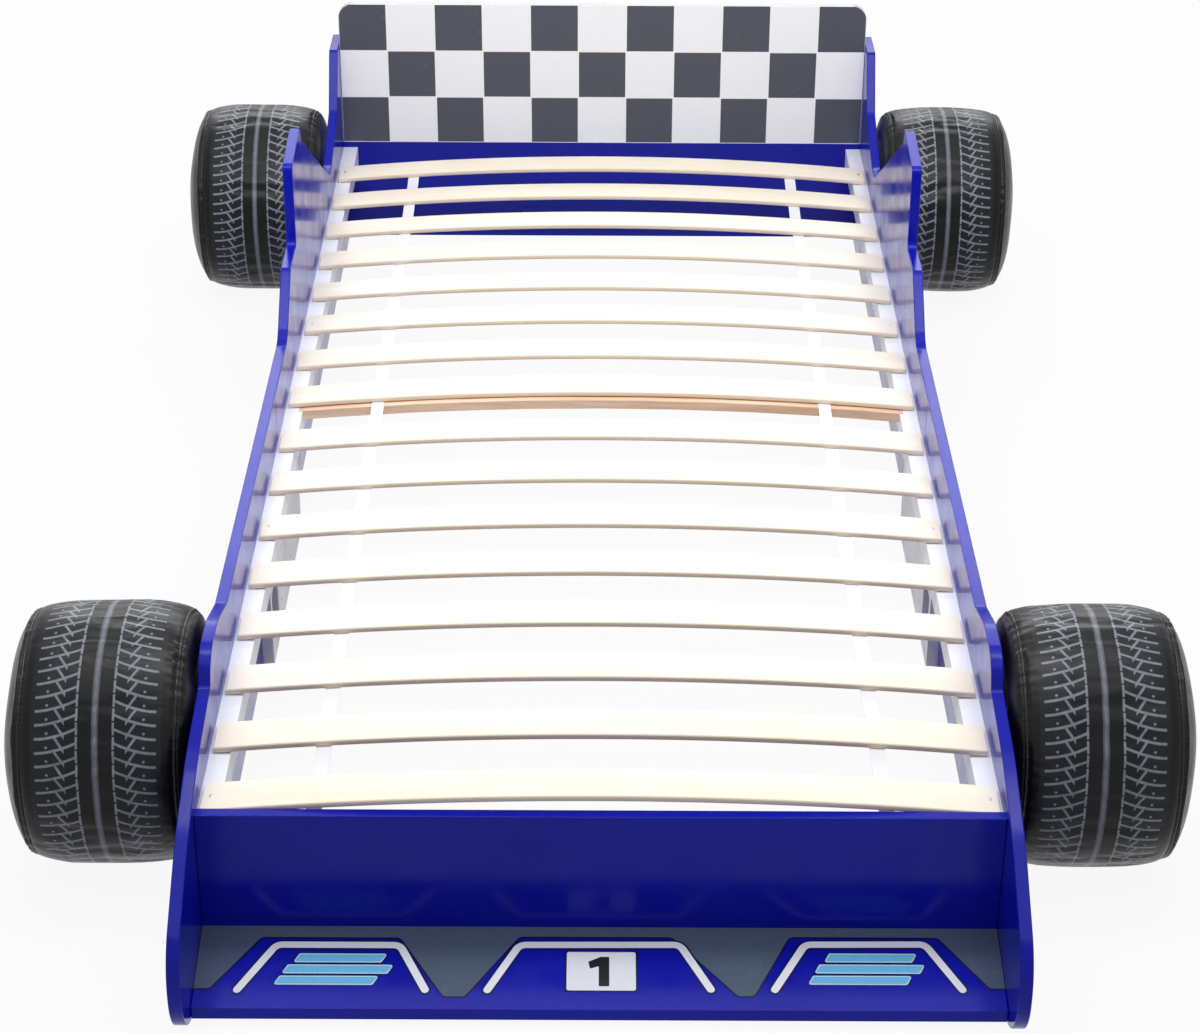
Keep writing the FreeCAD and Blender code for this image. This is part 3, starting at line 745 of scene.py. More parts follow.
def row_of_bars():
    inputs = {"Front Count": "Int", "Front Start": "Vector", "Front Step": "Vector",
              "Rear Count": "Int", "Rear Start": "Vector", "Rear Step": "Vector", "Seed": "Int"}
    recipe = Recipe("row_of_bars", inputs)
    rows = []
    for half in ("Front", "Rear"):
        sockets = {"Count": recipe.given(half + " Count"),
                   "Start Location": recipe.given(half + " Start"),
                   "Offset": recipe.given(half + " Step")}
        rows.append(recipe.node("GeometryNodeMeshLine", {"mode": "OFFSET"}, sockets))
    places = recipe.node("GeometryNodeJoinGeometry", {}, {"Geometry": rows})
    copies = recipe.node("GeometryNodeInstanceOnPoints", {},
                         {"Points": places, "Instance": recipe.given("Geometry")})
    tone = recipe.node("FunctionNodeRandomValue", {"data_type": "FLOAT"},
                       {"Seed": recipe.given("Seed")}, 1)
    toned = recipe.node("GeometryNodeStoreNamedAttribute",
                        {"data_type": "FLOAT", "domain": "INSTANCE"},
                        {"Geometry": copies, "Name": "tone", "Value": tone})
    recipe.end_with(toned)
    return recipe


print("recipe inputs:", [i.name for i in row_of_bars().tree.interface.items_tree])

# %% Run the slats
SLATS_PER_HALF = 8
SLAT_SEED = 7
slat_nodes = sorted(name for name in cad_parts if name.startswith("slat_") and name[-1].isdigit())


def slat_start(number):
    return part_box("slat_%02d" % number)[0].y


def slat_row(first, last):
    """Where a half's row begins, and the step from slat to slat."""
    step = (slat_start(last) - slat_start(first)) / (last - first)
    return (0.0, slat_start(first), 0.0), (0.0, step, 0.0)


front_row = slat_row(1, SLATS_PER_HALF)
rear_row = slat_row(SLATS_PER_HALF + 1, 2 * SLATS_PER_HALF)
slats = new_piece("slats_bent", one_slat, birch_wood)
row_of_bars().run(slats, birch_wood, {
    "Front Count": SLATS_PER_HALF, "Front Start": front_row[0], "Front Step": front_row[1],
    "Rear Count": SLATS_PER_HALF, "Rear Start": rear_row[0], "Rear Step": rear_row[1],
    "Seed": SLAT_SEED})
shade(slats.data)
fit(slats, "birch", *slat_nodes)
print("slats:", len(slat_nodes), "faces:", len(slats.data.polygons))

# %% [markdown]
# ## Rails, joint plates and the cross beam
# The rails that carry the slats are white laminated battens. The plates that join the front and
# rear panels are white-ish board, painted pale grey as painted shade for the low place they stand
# in. The beam under the ninth slat is bent hardwood, brown and open grained. They could be drawn
# anew, but their shapes are right as they are. A sawn edge is never quite sharp, though, and what
# shows first is the light on it, so a small bevel is enough.

# %% Laminate, board and hardwood


def laminate(name, colour, streak_tone):
    finish = Finish(name, {"Specular IOR Level": 0.4})
    here = finish.point()
    pressed = finish.noise(finish.stretched(here, 60.0, 12.0, 60.0), 6.0, 3.0)
    finish.paint("Base Color", finish.mix(finish.level(pressed, 0.35, 0.7), colour, streak_tone))
    finish.paint("Roughness", finish.level(finish.noise(here, 20.0, 3.0), 0.3, 0.7, 0.32, 0.45))
    finish.relief(finish.noise(here, 700.0, 1.0), 0.015 * MM)
    return finish


def hardwood():
    finish = Finish("brown_hardwood", {"Specular IOR Level": 0.35})
    grain = finish.stretched(finish.point(), 2.0, 45.0, 45.0)
    waves = finish.noise(grain, 1.5, 5.0, 0.62)
    pores = finish.noise(finish.stretched(finish.point(), 14.0, 700.0, 700.0), 1.0, 2.0)
    wood = finish.mix(finish.level(waves, 0.32, 0.7), tint(243, 213, 187), tint(220, 182, 151))
    finish.paint("Base Color", finish.mix(finish.level(pores, 0.58, 0.72, 0.0, 0.45), wood,
                                          tint(158, 116, 88)))
    finish.paint("Roughness", finish.level(waves, 0.3, 0.7, 0.45, 0.6))
    finish.relief(pores, 0.05 * MM)
    return finish


white_laminate = laminate("white_laminate", tint(244, 245, 249), tint(237, 239, 245))
# painted shade: the joint plates' board is white-ish, painted pale grey for the shade low in the bed
grey_board = laminate("grey_board", tint(214, 216, 222), tint(203, 206, 213))
print("finishes:", white_laminate.material.name, grey_board.material.name)

# %% Ease the edges
EASE_WIDTH = 0.8 * MM
EASE_ANGLE = 40


def bevelled(node, finish, slot):
    """A sawn piece of the frame with its arrises taken off."""
    shape = merged(node)
    bmesh.ops.dissolve_limit(shape, angle_limit=math.radians(1), verts=shape.verts, edges=shape.edges)
    bar = new_piece(node + "_eased", as_mesh(shape, node + "_eased"), finish)
    bevel = bar.modifiers.new("eased", "BEVEL")
    bevel.width = EASE_WIDTH
    bevel.segments = 2
    bevel.limit_method = "ANGLE"
    bevel.angle_limit = math.radians(EASE_ANGLE)
    bevel.harden_normals = True
    shade(bar.data)
    return fit(settle(bar), slot, node)


for side in SIDES:
    for half in HALVES:
        bevelled("rail_%s_%s" % (half, side), white_laminate, "rail_white")
    bevelled("joint_plate_" + side, grey_board, "plate_grey")
bevelled("mid_cross_beam", hardwood(), "beam_brown")

# %% [markdown]
# ## Webbing straps
# Two woven straps run under the slats and keep them at their pitch. They are stapled to every slat
# and sag a little in each gap. A cloth simulation would find nearly this shape, but a strap is
# narrow and tight, so its sag is one formula: none under a slat, most in the middle of a gap. The
# weave is drawn by two sets of waves, across and along.

# %% Strap mesh
STRAP_THICK = 1.2 * MM
STRAP_SAG = 2.5 * MM
STRAP_STEP = 6 * MM
STRAP_ACROSS = 6
slat_boxes = [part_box(node) for node in slat_nodes]
slat_gaps = [(one[1].y, two[0].y) for one, two in zip(slat_boxes, slat_boxes[1:])]


def sag(y):
    """How far a strap hangs below the slats' underside at this Y."""
    for start, end in slat_gaps:
        if start < y < end:
            return STRAP_SAG * math.sin(math.pi * (y - start) / (end - start)) ** 2
    return 0.0


def strap_mesh(node):
    low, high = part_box(node)
    count = round((high.y - low.y) / STRAP_STEP)
    shape = bmesh.new()
    rings = []
    for i in range(count + 1):
        y = low.y + (high.y - low.y) * i / count
        hang = sag(y)
        xs = [low.x + (high.x - low.x) * k / STRAP_ACROSS for k in range(STRAP_ACROSS + 1)]
        top = [(x, y, arc_height(x) - hang) for x in xs]
        under = [(x, y, z - STRAP_THICK) for x, y, z in reversed(top)]
        rings.append([shape.verts.new(spot) for spot in top + under])
    closed_bar(shape, rings)
    return as_mesh(shape, node + "_woven")


gap_widths = [(end - start) / MM for start, end in slat_gaps]
print("gaps between slats: %.0f to %.0f mm" % (min(gap_widths), max(gap_widths)))

# %% Woven straps
STRAP_CREASE = 60
RIBS = 4200.0
PICKS = 3000.0


def webbing():
    finish = Finish("white_webbing", {"Specular IOR Level": 0.25, "Sheen Weight": 0.15})
    x, y, _ = finish.parts(finish.point())
    ribs = (x * RIBS).sine()
    picks = (y * PICKS).sine()
    weave = finish.level(ribs * picks, -1.0, 1.0)
    fuzz = finish.noise(finish.point(), 900.0, 2.0)
    # painted shade: the weave is painted darker where its relief dips between the threads
    colour = finish.mix(weave, tint(222, 224, 229), tint(246, 247, 250))
    finish.paint("Base Color", finish.mix(finish.level(fuzz, 0.4, 0.8, 0.0, 0.3), colour,
                                          tint(208, 210, 216)))
    finish.paint("Roughness", finish.level(fuzz, 0.3, 0.7, 0.75, 0.9))
    finish.relief(weave, 0.12 * MM)
    return finish


white_webbing = webbing()
for side in SIDES:
    node = "strap_" + side
    strap = new_piece(node + "_woven", strap_mesh(node), white_webbing)
    shade(strap.data, STRAP_CREASE)
    fit(strap, "webbing", node)

# %% [markdown]
# ## Screws
# Cross-head screws hold the slats, rails and plates, and larger hex-socket screws hold the panels.
# One screw of each kind is modelled with its recess. The frame says where every screw is and which
# way it points: its solids are found as islands of joined triangles, and the wider end is the head.
# Geometry Nodes then set a copy on every place, each turned by its own angle. A loop that copies
# objects would do the same, but would leave dozens of loose objects to join.

# %% Rings and the cross recess
RING = 24


def ring_of(radius, count=RING):
    """Points on a circle."""
    angles = [2 * math.pi * i / count for i in range(count)]
    return [(radius * math.cos(a), radius * math.sin(a)) for a in angles]


def cross_outline(reach, width):
    """The outline of a cross recess."""
    quarter = [(reach, -width), (reach, width), (width, width)]
    outline = []
    for turn in range(4):
        spin = Matrix.Rotation(math.pi / 2 * turn, 2)
        outline += [tuple(spin @ Vector(p)) for p in quarter]
    return outline


print("a cross recess has", len(cross_outline(2.0, 0.5)), "corners")

# %% One screw
BRIM_SHARE = 0.82
RECESS_TAPER = 0.7
HEAD_ROUNDING = 0.3
SCREW_CREASE = 40


def screw_mesh(name, head, sink, shank, length, recess, depth):
    """A screw that points down, with its head's top at zero height and a recess in it."""
    shape = bmesh.new()

    def loop(points, z):
        spots = [shape.verts.new((x, y, z)) for x, y in points]
        edges = [shape.edges.new((spots[i - 1], spots[i])) for i in range(len(spots))]
        return spots, edges

    def wall(one, two):
        for i in range(len(one)):
            shape.faces.new((one[i - 1], one[i], two[i], two[i - 1]))

    brim, brim_edges = loop(ring_of(head * BRIM_SHARE), 0.0)
    mouth, mouth_edges = loop(recess, 0.0)
    bmesh.ops.triangle_fill(shape, edges=brim_edges + mouth_edges, use_beauty=True)
    floor, _ = loop([(x * RECESS_TAPER, y * RECESS_TAPER) for x, y in recess], -depth)
    wall(mouth, floor)
    shape.faces.new(floor)
    last = brim
    for radius, z in ((head, -HEAD_ROUNDING * sink), (head, -sink), (shank, -sink), (shank, -length)):
        spots, _ = loop(ring_of(radius), z)
        wall(last, spots)
        last = spots
    shape.faces.new(last)
    bmesh.ops.recalc_face_normals(shape, faces=shape.faces)
    mesh = as_mesh(shape, name)
    shade(mesh, SCREW_CREASE)
    return mesh


print("a screw head has", RING, "sides")

# %% Find the screws in the frame


def islands(node):
    """The solids of a node, each as a list of points."""
    shape = merged(node)
    left = set(shape.verts)
    found = []
    while left:
        reached = [left.pop()]
        spots = []
        while reached:
            vertex = reached.pop()
            spots.append(vertex.co.copy())
            for edge in vertex.link_edges:
                other = edge.other_vert(vertex)
                if other in left:
                    left.remove(other)
                    reached.append(other)
        found.append(np.array(spots))
    shape.free()
    return found


print("slat screws found:", len(islands("slat_screws")))

# %% Measure the screws
Screw = namedtuple("Screw", "centre facing head shank length")


def measure_screw(spots):
    """Where a screw's head is, the way it faces, both radii and the length, from its points."""
    low = spots.min(0)
    high = spots.max(0)
    axis = int(np.argmax(high - low))
    middle = (low + high) / 2
    across = [i for i in range(3) if i != axis]
    reach = np.hypot(*(spots[:, across] - middle[across]).T)
    head_end = 1 if spots[np.argmax(reach), axis] > middle[axis] else -1
    facing = np.zeros(3)
    facing[axis] = head_end
    centre = middle.copy()
    centre[axis] = high[axis] if head_end > 0 else low[axis]
    tip = low[axis] if head_end > 0 else high[axis]
    shank = reach[np.abs(spots[:, axis] - tip) < 0.1 * MM].max()
    return Screw(centre, facing, reach.max(), shank, (high - low)[axis])


screw_sets = {}
for node in ("slat_screws", "rail_screws", "plate_screws", "panel_screws"):
    screw_sets[node] = [measure_screw(spots) for spots in islands(node)]
    print(node, len(screw_sets[node]), "head radius %.1f mm" % (screw_sets[node][0].head / MM))

# %% The recipe that sets a model on points


def scattered():
    """A recipe that sets one model on every point, along the point's facing."""
    recipe = Recipe("set_on_points", {"Model": "Object", "Turn": "Float", "Seed": "Int"})
    facing = recipe.node("GeometryNodeInputNamedAttribute", {"data_type": "FLOAT_VECTOR"},
                         {"Name": "facing"})
    aim = recipe.node("FunctionNodeAlignRotationToVector", {"axis": "Z"}, {"Vector": facing})
    model = recipe.node("GeometryNodeObjectInfo", {}, {"Object": recipe.given("Model")}, "Geometry")
    sockets = {"Points": recipe.given("Geometry"), "Instance": model, "Rotation": aim}
    copies = recipe.node("GeometryNodeInstanceOnPoints", {}, sockets)
    angle = recipe.node("FunctionNodeRandomValue", {"data_type": "FLOAT"},
                        {3: recipe.given("Turn"), "Seed": recipe.given("Seed")}, 1)
    spin = recipe.node("FunctionNodeAxisAngleToRotation", {}, {"Axis": (0, 0, 1), "Angle": angle})
    turned = recipe.node("GeometryNodeRotateInstances", {}, {"Instances": copies, "Rotation": spin})
    recipe.end_with(turned)
    return recipe


set_on_points = scattered()
print("nodes in the recipe:", len(set_on_points.tree.nodes))

# %% Zinc, and the points to set screws on


def points_mesh(name, screws):
    """One point for every head, which remembers the way that the head faces."""
    mesh = bpy.data.meshes.new(name)
    mesh.from_pydata([tuple(screw.centre) for screw in screws], [], [])
    layer = mesh.attributes.new("facing", "FLOAT_VECTOR", "POINT")
    facings = np.array([screw.facing for screw in screws], np.float32)
    layer.data.foreach_set("vector", facings.ravel())
    return mesh


def zinc(name, roughness):
    finish = Finish(name, {"Metallic": 1.0})
    here = finish.point()
    scratch = finish.noise(finish.stretched(here, 900.0, 900.0, 200.0), 1.0, 3.0)
    finish.paint("Base Color", finish.mix(finish.level(scratch, 0.35, 0.7), tint(186, 188, 192),
                                          tint(150, 152, 158)))
    finish.paint("Roughness", finish.level(scratch, 0.3, 0.7, roughness, roughness + 0.15))
    return finish


zinc_bright = zinc("zinc_bright", 0.25)
print("zinc nodes:", len(zinc_bright.material.node_tree.nodes))

# %% Set the screws
SINKS = {"slat_screws": 3 * MM, "rail_screws": 2.5 * MM,
         "plate_screws": 2.5 * MM, "panel_screws": 4 * MM}
RECESS_REACH = 0.5
RECESS_DEPTH = 0.5
CROSS_WIDTH = 0.14


def recess_of(node, head):
    """The outline of a recess: hex sockets on the panels, crosses elsewhere."""
    if node == "panel_screws":
        return ring_of(RECESS_REACH * head, 6)
    return cross_outline(RECESS_REACH * head, CROSS_WIDTH * head)


for seed, (node, screws) in enumerate(screw_sets.items(), start=1):
    _, _, head, shank, length = screws[0]
    recess = recess_of(node, head)
    sink = SINKS[node]
    mesh = screw_mesh(node + "_model", head, sink, shank, length, recess, RECESS_DEPTH * sink)
    model = new_piece(node + "_model", mesh)
    piece = new_piece(node + "_set", points_mesh(node + "_set", screws))
    set_on_points.run(piece, zinc_bright, {"Model": model, "Turn": 2 * math.pi, "Seed": seed})
    bpy.data.objects.remove(model)
    fit(piece, "zinc_screws", node)
print("screws set:", sum(len(s) for s in screw_sets.values()))

# %% [markdown]
# ## A stuffed wheel
# Each wheel is a foam drum in a sewn cover of soft black vinyl: a flat disc against the panel, a
# broad tread band, and a domed outer disc. The cover is cut a little large, so it swells between
# its seams and puckers where they pull. A turned profile gives the drum. A short cloth simulation
# with air pressure inside lets the skin swell while the seams hold it, and a few millimetres of
# puckering along the seams are added by a formula, because stitches are finer than the cloth.

# %% The wheel's turned profile
wheel_low, wheel_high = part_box("wheel_cover_front_right")
WHEEL_WIDTH = wheel_high.x - wheel_low.x
WHEEL_RADIUS = (wheel_high.z - wheel_low.z) / 2
DISC_RADIUS = 98 * MM
SEAM_RADIUS = 146.5 * MM
CREST_RADIUS = WHEEL_RADIUS - 0.8 * MM
INNER_SEAM = 13 * MM
OUTER_SEAM = WHEEL_WIDTH - 41 * MM
DOME_DEPTH = 35 * MM
DOME_FULLNESS = 0.8
SHOULDER_START = 104 * MM
SHOULDER_BULGE = 2 * MM
DISC_RINGS = 6
SHOULDER_RINGS = 9
TREAD_RINGS = 36
DOME_RINGS = 18
tread_middle = (INNER_SEAM + OUTER_SEAM) / 2
tread_half = (OUTER_SEAM - INNER_SEAM) / 2


def tread_radius(along):
    """The tread is nearly flat in the middle and falls away to its seams."""
    share = abs(along - tread_middle) / tread_half
    return CREST_RADIUS - (CREST_RADIUS - SEAM_RADIUS) * min(share, 1.0) ** 3


def quarter_turns(steps):
    """Even steps of angle up to a right angle."""
    return [math.pi / 2 * i / steps for i in range(1, steps + 1)]


flat_disc = [(0.0, DISC_RADIUS * i / DISC_RINGS) for i in range(1, DISC_RINGS + 1)]
shoulder = []
for turn in quarter_turns(SHOULDER_RINGS):
    along = INNER_SEAM - (INNER_SEAM + SHOULDER_BULGE) * math.cos(turn)
    shoulder.append((along, SHOULDER_START + (SEAM_RADIUS - SHOULDER_START) * math.sin(turn)))
spots_across = np.linspace(INNER_SEAM, OUTER_SEAM, TREAD_RINGS + 1)[1:]
tread = [(float(along), tread_radius(along)) for along in spots_across]
dome = [(OUTER_SEAM + DOME_DEPTH * math.sin(turn), SEAM_RADIUS * math.cos(turn) ** DOME_FULLNESS)
        for turn in quarter_turns(DOME_RINGS)[:-1]]
profile = flat_disc + shoulder + tread + dome
inner_seam_ring = len(flat_disc) + len(shoulder) - 1
outer_seam_ring = inner_seam_ring + len(tread)
print("profile points:", len(profile), "seams at", inner_seam_ring, "and", outer_seam_ring)

# %% Turn the profile into a mesh with a printed map
AROUND = 360
SIPES = 60


def wheel_spot(along, radius, share):
    """A point of the wheel. Its share of a turn runs from the floor up the wheel's front."""
    angle = 2 * math.pi * share
    return Vector((along, -radius * math.sin(angle), -radius * math.cos(angle)))


def tread_run():
    """Distance along the profile from the middle of the tread, for every ring."""
    steps = [math.dist(one, two) for one, two in zip(profile, profile[1:])]
    run = np.concatenate([[0.0], np.cumsum(steps)])
    return run - (run[inner_seam_ring] + run[outer_seam_ring]) / 2


runs = tread_run()


def turned_wheel():
    """The drum, with a map that counts sipes round it and millimetres across the tread."""
    shape = bmesh.new()
    spread = shape.loops.layers.uv.new("tread")
    rings = []
    for along, radius in profile:
        rings.append([shape.verts.new(wheel_spot(along, radius, i / AROUND)) for i in range(AROUND)])
    poles = [shape.verts.new((0, 0, 0)), shape.verts.new((OUTER_SEAM + DOME_DEPTH, 0, 0))]
    for k in range(len(rings) - 1):
        for i in range(AROUND):
            j = (i + 1) % AROUND
            face = shape.faces.new((rings[k][i], rings[k + 1][i], rings[k + 1][j], rings[k][j]))
            map_corners = ((i, k), (i, k + 1), (i + 1, k + 1), (i + 1, k))
            for corner, (step, ring) in zip(face.loops, map_corners):
                corner[spread].uv = (step / AROUND * SIPES, runs[ring] / MM)
    for ring, pole, run in ((rings[0], poles[0], runs[0]), (rings[-1], poles[1], runs[-1])):
        for i in range(AROUND):
            face = shape.faces.new((ring[i], ring[(i + 1) % AROUND], pole))
            for corner in face.loops:
                corner[spread].uv = (0.5, run / MM)
    bmesh.ops.recalc_face_normals(shape, faces=shape.faces)
    return as_mesh(shape, "wheel_skin")


print("rings across the tread:", len(tread), "points round it:", AROUND)

# %% Swell the skin by cloth simulation
CLOTH_FRAMES = 20
CLOTH = {"vertex_group_mass": "held", "quality": 6, "mass": 0.25, "tension_stiffness": 18,
         "compression_stiffness": 18, "bending_stiffness": 0.6, "shrink_min": -0.03,
         "use_pressure": True, "uniform_pressure_force": 3.0}
SWELL_LIMIT = 5 * MM
SWELL_SHARE = 0.55
STIFF_SHOULDER = 5


def held_rings():
    """The rings that can't move: the disc against its plywood, and both seams."""
    stiff = range(len(flat_disc) + STIFF_SHOULDER)
    return sorted({*stiff, inner_seam_ring, outer_seam_ring})


def swell(skin):
    """Run the cloth and keep its shape, no further than the limit from the turned one."""
    before = np.array([v.co for v in skin.data.vertices])
    group = skin.vertex_groups.new(name="held")
    for ring in held_rings():
        group.add(range(ring * AROUND, (ring + 1) * AROUND), 1.0, "REPLACE")
    group.add([inner_pole], 1.0, "REPLACE")
    cloth = skin.modifiers.new("skin", "CLOTH")
    for setting, value in CLOTH.items():
        setattr(cloth.settings, setting, value)
    cloth.settings.effector_weights.gravity = 0.0
    cloth.point_cache.frame_end = CLOTH_FRAMES
    for number in range(1, CLOTH_FRAMES + 1):
        bpy.context.scene.frame_set(number)
    settle(skin)
    after = np.array([v.co for v in skin.data.vertices])
    move = after - before
    reach = np.linalg.norm(move, axis=1, keepdims=True)
    move *= SWELL_SHARE * np.minimum(1.0, SWELL_LIMIT / np.maximum(reach, 1e-9))
    bpy.context.scene.frame_set(1)
    return before + move


wheel_skin = new_piece("wheel_skin", turned_wheel())
inner_pole = len(profile) * AROUND
swollen = swell(wheel_skin)
print("skin points:", len(swollen))

# %% Waves and outward directions
WAVE_GAIN = 1.6


def waves(shares, counts, rng):
    """A sum of waves round the wheel with random phases, between about -1 and 1."""
    total = np.zeros_like(shares)
    for count in counts:
        total += np.sin(2 * math.pi * (count * shares + rng.random())) * rng.uniform(0.6, 1.0)
    return total / len(counts) * WAVE_GAIN


def outwards(spots):
    """Unit normals of the mesh at its points."""
    mesh = wheel_skin.data
    mesh.vertices.foreach_set("co", spots.astype(np.float32).ravel())
    mesh.update()
    normals = np.zeros(len(spots) * 3, np.float32)
    mesh.vertex_normals.foreach_get("vector", normals)
    return normals.reshape(-1, 3)


print("a wave's first value: %.2f" % waves(np.zeros(1), (3, 5), np.random.default_rng(1))[0])

# %% Pucker the seams and keep the drum in its box
PUCKER_SEED = 11
PUCKER_DEEP = 2.0 * MM
PUCKER_REACH = 11 * MM
OUTER_PUCKER_SHARE = 0.7
SEAM_DEEP = 1.6 * MM
SEAM_REACH = 3.2 * MM
DENT_DEEP = 1.1 * MM
DENT_SPACING = 50 * MM
DENT_ROWS = 5
RADIUS_SPARE = 0.2 * MM
INNER_SPARE = 3 * MM


def puckered(spots):
    """Fine puckers beside the seams, slow dents between them, and a groove at each seam."""
    rng = np.random.default_rng(PUCKER_SEED)
    shares = np.arange(AROUND) / AROUND
    inner = waves(shares, (41, 53, 64, 71, 29), rng) * (0.55 + 0.45 * waves(shares, (3, 5), rng))
    outer = waves(shares, (37, 49, 58, 66, 25), rng) * (0.45 + 0.4 * waves(shares, (2, 4), rng))
    slow = [waves(shares, (2, 3, 5), rng) for _ in range(DENT_ROWS)]
    offset = np.zeros(len(spots))
    for ring, run in enumerate(runs):
        to_inner = abs(run - runs[inner_seam_ring])
        to_outer = abs(run - runs[outer_seam_ring])
        bump = inner * math.exp(-(to_inner / PUCKER_REACH) ** 2)
        bump += outer * OUTER_PUCKER_SHARE * math.exp(-(to_outer / PUCKER_REACH) ** 2)
        groove = SEAM_DEEP * math.exp(-(min(to_inner, to_outer) / SEAM_REACH) ** 2)
        row = min(max(run / DENT_SPACING + DENT_ROWS // 2, 0), DENT_ROWS - 1.001)
        low = int(row)
        dent = slow[low] * (1 - row % 1) + slow[low + 1] * (row % 1)
        loose = 0.0 if ring < len(flat_disc) else 1.0
        start = ring * AROUND
        offset[start:start + AROUND] = loose * (PUCKER_DEEP * bump + DENT_DEEP * dent) - groove
    result = spots + outwards(spots) * offset[:, None]
    radius = np.hypot(result[:, 1], result[:, 2])
    shrink = np.minimum(1.0, (WHEEL_RADIUS + RADIUS_SPARE) / np.maximum(radius, 1e-6))
    result[:, 1:] *= shrink[:, None]
    result[:, 0] = np.clip(result[:, 0], -INNER_SPARE, WHEEL_WIDTH)
    return result


wheel_spots = puckered(swollen)
wheel_skin.data.vertices.foreach_set("co", wheel_spots.astype(np.float32).ravel())
wheel_skin.data.update()
print("widest radius %.1f mm" % (np.hypot(wheel_spots[:, 1], wheel_spots[:, 2]).max() / MM))

# %% [markdown]
# ## Tread print on vinyl
# The tread isn't moulded: it is printed on the vinyl. A light stripe runs round the middle between
# two dark bands. Outside them come a ticked rib line, curved sipes, short diagonals and dots. Thin
# films would do here as on the shelf, but there are hundreds of marks on a skin that swells. The
# map on the mesh counts sipes round the wheel and millimetres across it, so each element is one
# short formula, mirrored about the middle by taking the distance without its sign.

# %% Marks of the tread print
TREAD_PRINT_END = 69.5
RIB = 21.0
SIPE_PITCH = 16.65
SIPE_CURVE = 1.8
SIPE_LEAN = 0.77
SIPE_HALF = 0.095
FORK = 47.0
FORK_REACH = 12.0
FORK_SLOPE = 0.088
FORK_PHASE = 0.2
FORK_HALF = 0.15
DOT_ROW = 55.5
DOT_PHASE = 0.42
DOT_RADIUS = 1.6
MARK_SOFT = 0.8


def line(distance, half_width, soft=0.35):
    """One on a line of that half width, zero beside it, with a soft border."""
    return ((half_width - distance) / soft + 0.5).clamped()


def sipe_print(turn, off):
    """Curved bars that lean forward towards the rib, in sipe counts round the wheel."""
    inwards = ((TREAD_PRINT_END - off) / (TREAD_PRINT_END - RIB)).clamped()
    lean = inwards ** SIPE_CURVE * SIPE_LEAN
    sipes = line((turn - lean).to_whole(), SIPE_HALF, 0.06)
    middle = (TREAD_PRINT_END + RIB) / 2
    reach = (TREAD_PRINT_END - RIB) / 2
    return sipes * line(abs(off - middle), reach, MARK_SOFT)


def diagonal_print(turn, off):
    """Short strokes that fall from one bar to just past the next."""
    fall = (FORK - off) * FORK_SLOPE - FORK_PHASE
    strokes = line((turn + fall).to_whole(), FORK_HALF, 0.07)
    return strokes * line(abs(off - (FORK - FORK_REACH / 2)), FORK_REACH / 2, MARK_SOFT)


def dot_print(turn, off):
    """A row of dots, one between each two bars."""
    round_it = (turn - DOT_PHASE).to_whole() * SIPE_PITCH
    across = abs(off - DOT_ROW)
    return line((round_it * round_it + across * across) ** 0.5, DOT_RADIUS, MARK_SOFT)


print("marks round the wheel:", SIPES, "at a pitch of", SIPE_PITCH, "mm")

# %% Vinyl, plain and printed
STRIPE_HALO = 3.8
STRIPE_CORE = 1.7
RIB_HALF = 1.3
TICK_PHASE = 0.27
TICK_HALF = 0.06
HATCHES = 9.0


def soft_skin(finish, skin):
    """What all the vinyl shares: a satin coat, pores and soft creases."""
    here = finish.point()
    finish.paint("Base Color", skin)
    worn = finish.noise(here, 22.0, 4.0, 0.6)
    finish.paint("Roughness", finish.level(worn, 0.3, 0.72, 0.26, 0.4))
    pores = finish.noise(here, 620.0, 2.0, 0.6)
    creases = finish.noise(here, 55.0, 3.0, 0.55)
    finish.relief(pores * 0.2 + creases, 0.6 * MM)
    return finish


def tread_vinyl():
    finish = Finish("printed_vinyl", {"Specular IOR Level": 0.18})
    spread = finish.node("ShaderNodeUVMap", {"uv_map": "tread"})
    turn, across, _ = finish.parts(spread)
    off = abs(across)
    stripe = line(off, STRIPE_HALO) * 0.42 + line(off, STRIPE_CORE) * 0.32
    tick = line((turn - TICK_PHASE).to_whole(), TICK_HALF, 0.05)
    rib = line(abs(off - RIB), RIB_HALF) * (1 - tick)
    light = sipe_print(turn, off).larger(diagonal_print(turn, off))
    light = light.larger(dot_print(turn, off)).larger(rib).larger(stripe)
    mottle = finish.noise(finish.point(), 160.0, 3.0, 0.65)
    hatch = (turn * HATCHES).to_whole() * 2 * line(abs(off - 48.0), 27.0, 2.0)
    blocks = line(abs(off - 30.0), 9.0, 2.0)
    skin = finish.mix(finish.level(mottle, 0.3, 0.7), tint(9, 10, 12), tint(16, 17, 20))
    skin = finish.mix(hatch * 0.6, skin, tint(46, 49, 55))
    skin = finish.mix(blocks * 0.6, skin, tint(12, 15, 22))
    ink = finish.mix(finish.level(mottle, 0.3, 0.75), tint(139, 144, 153), tint(112, 118, 128))
    return soft_skin(finish, finish.mix(light * 0.95, skin, ink))


def plain_vinyl():
    finish = Finish("plain_vinyl", {"Specular IOR Level": 0.3})
    mottle = finish.noise(finish.point(), 160.0, 3.0, 0.65)
    skin = finish.mix(finish.level(mottle, 0.3, 0.7), tint(16, 16, 18), tint(24, 24, 27))
    return soft_skin(finish, skin)


black_vinyl = tread_vinyl()
welt_vinyl = plain_vinyl()
print("tread nodes:", len(black_vinyl.material.node_tree.nodes))

# %% [markdown]
# ## Welt and stitches
# Where two panels of the cover meet, the seam shows as a thin raised welt with a row of stitches
# on each side. Painted on, they would vanish at the wheel's outline, where they show most, so they
# are solid. Both follow the swollen skin and are made from its own seam ring: a node recipe turns
# the ring into a curve, sweeps a tube along it, or sets a stitch at every step.

# %% Seam recipes


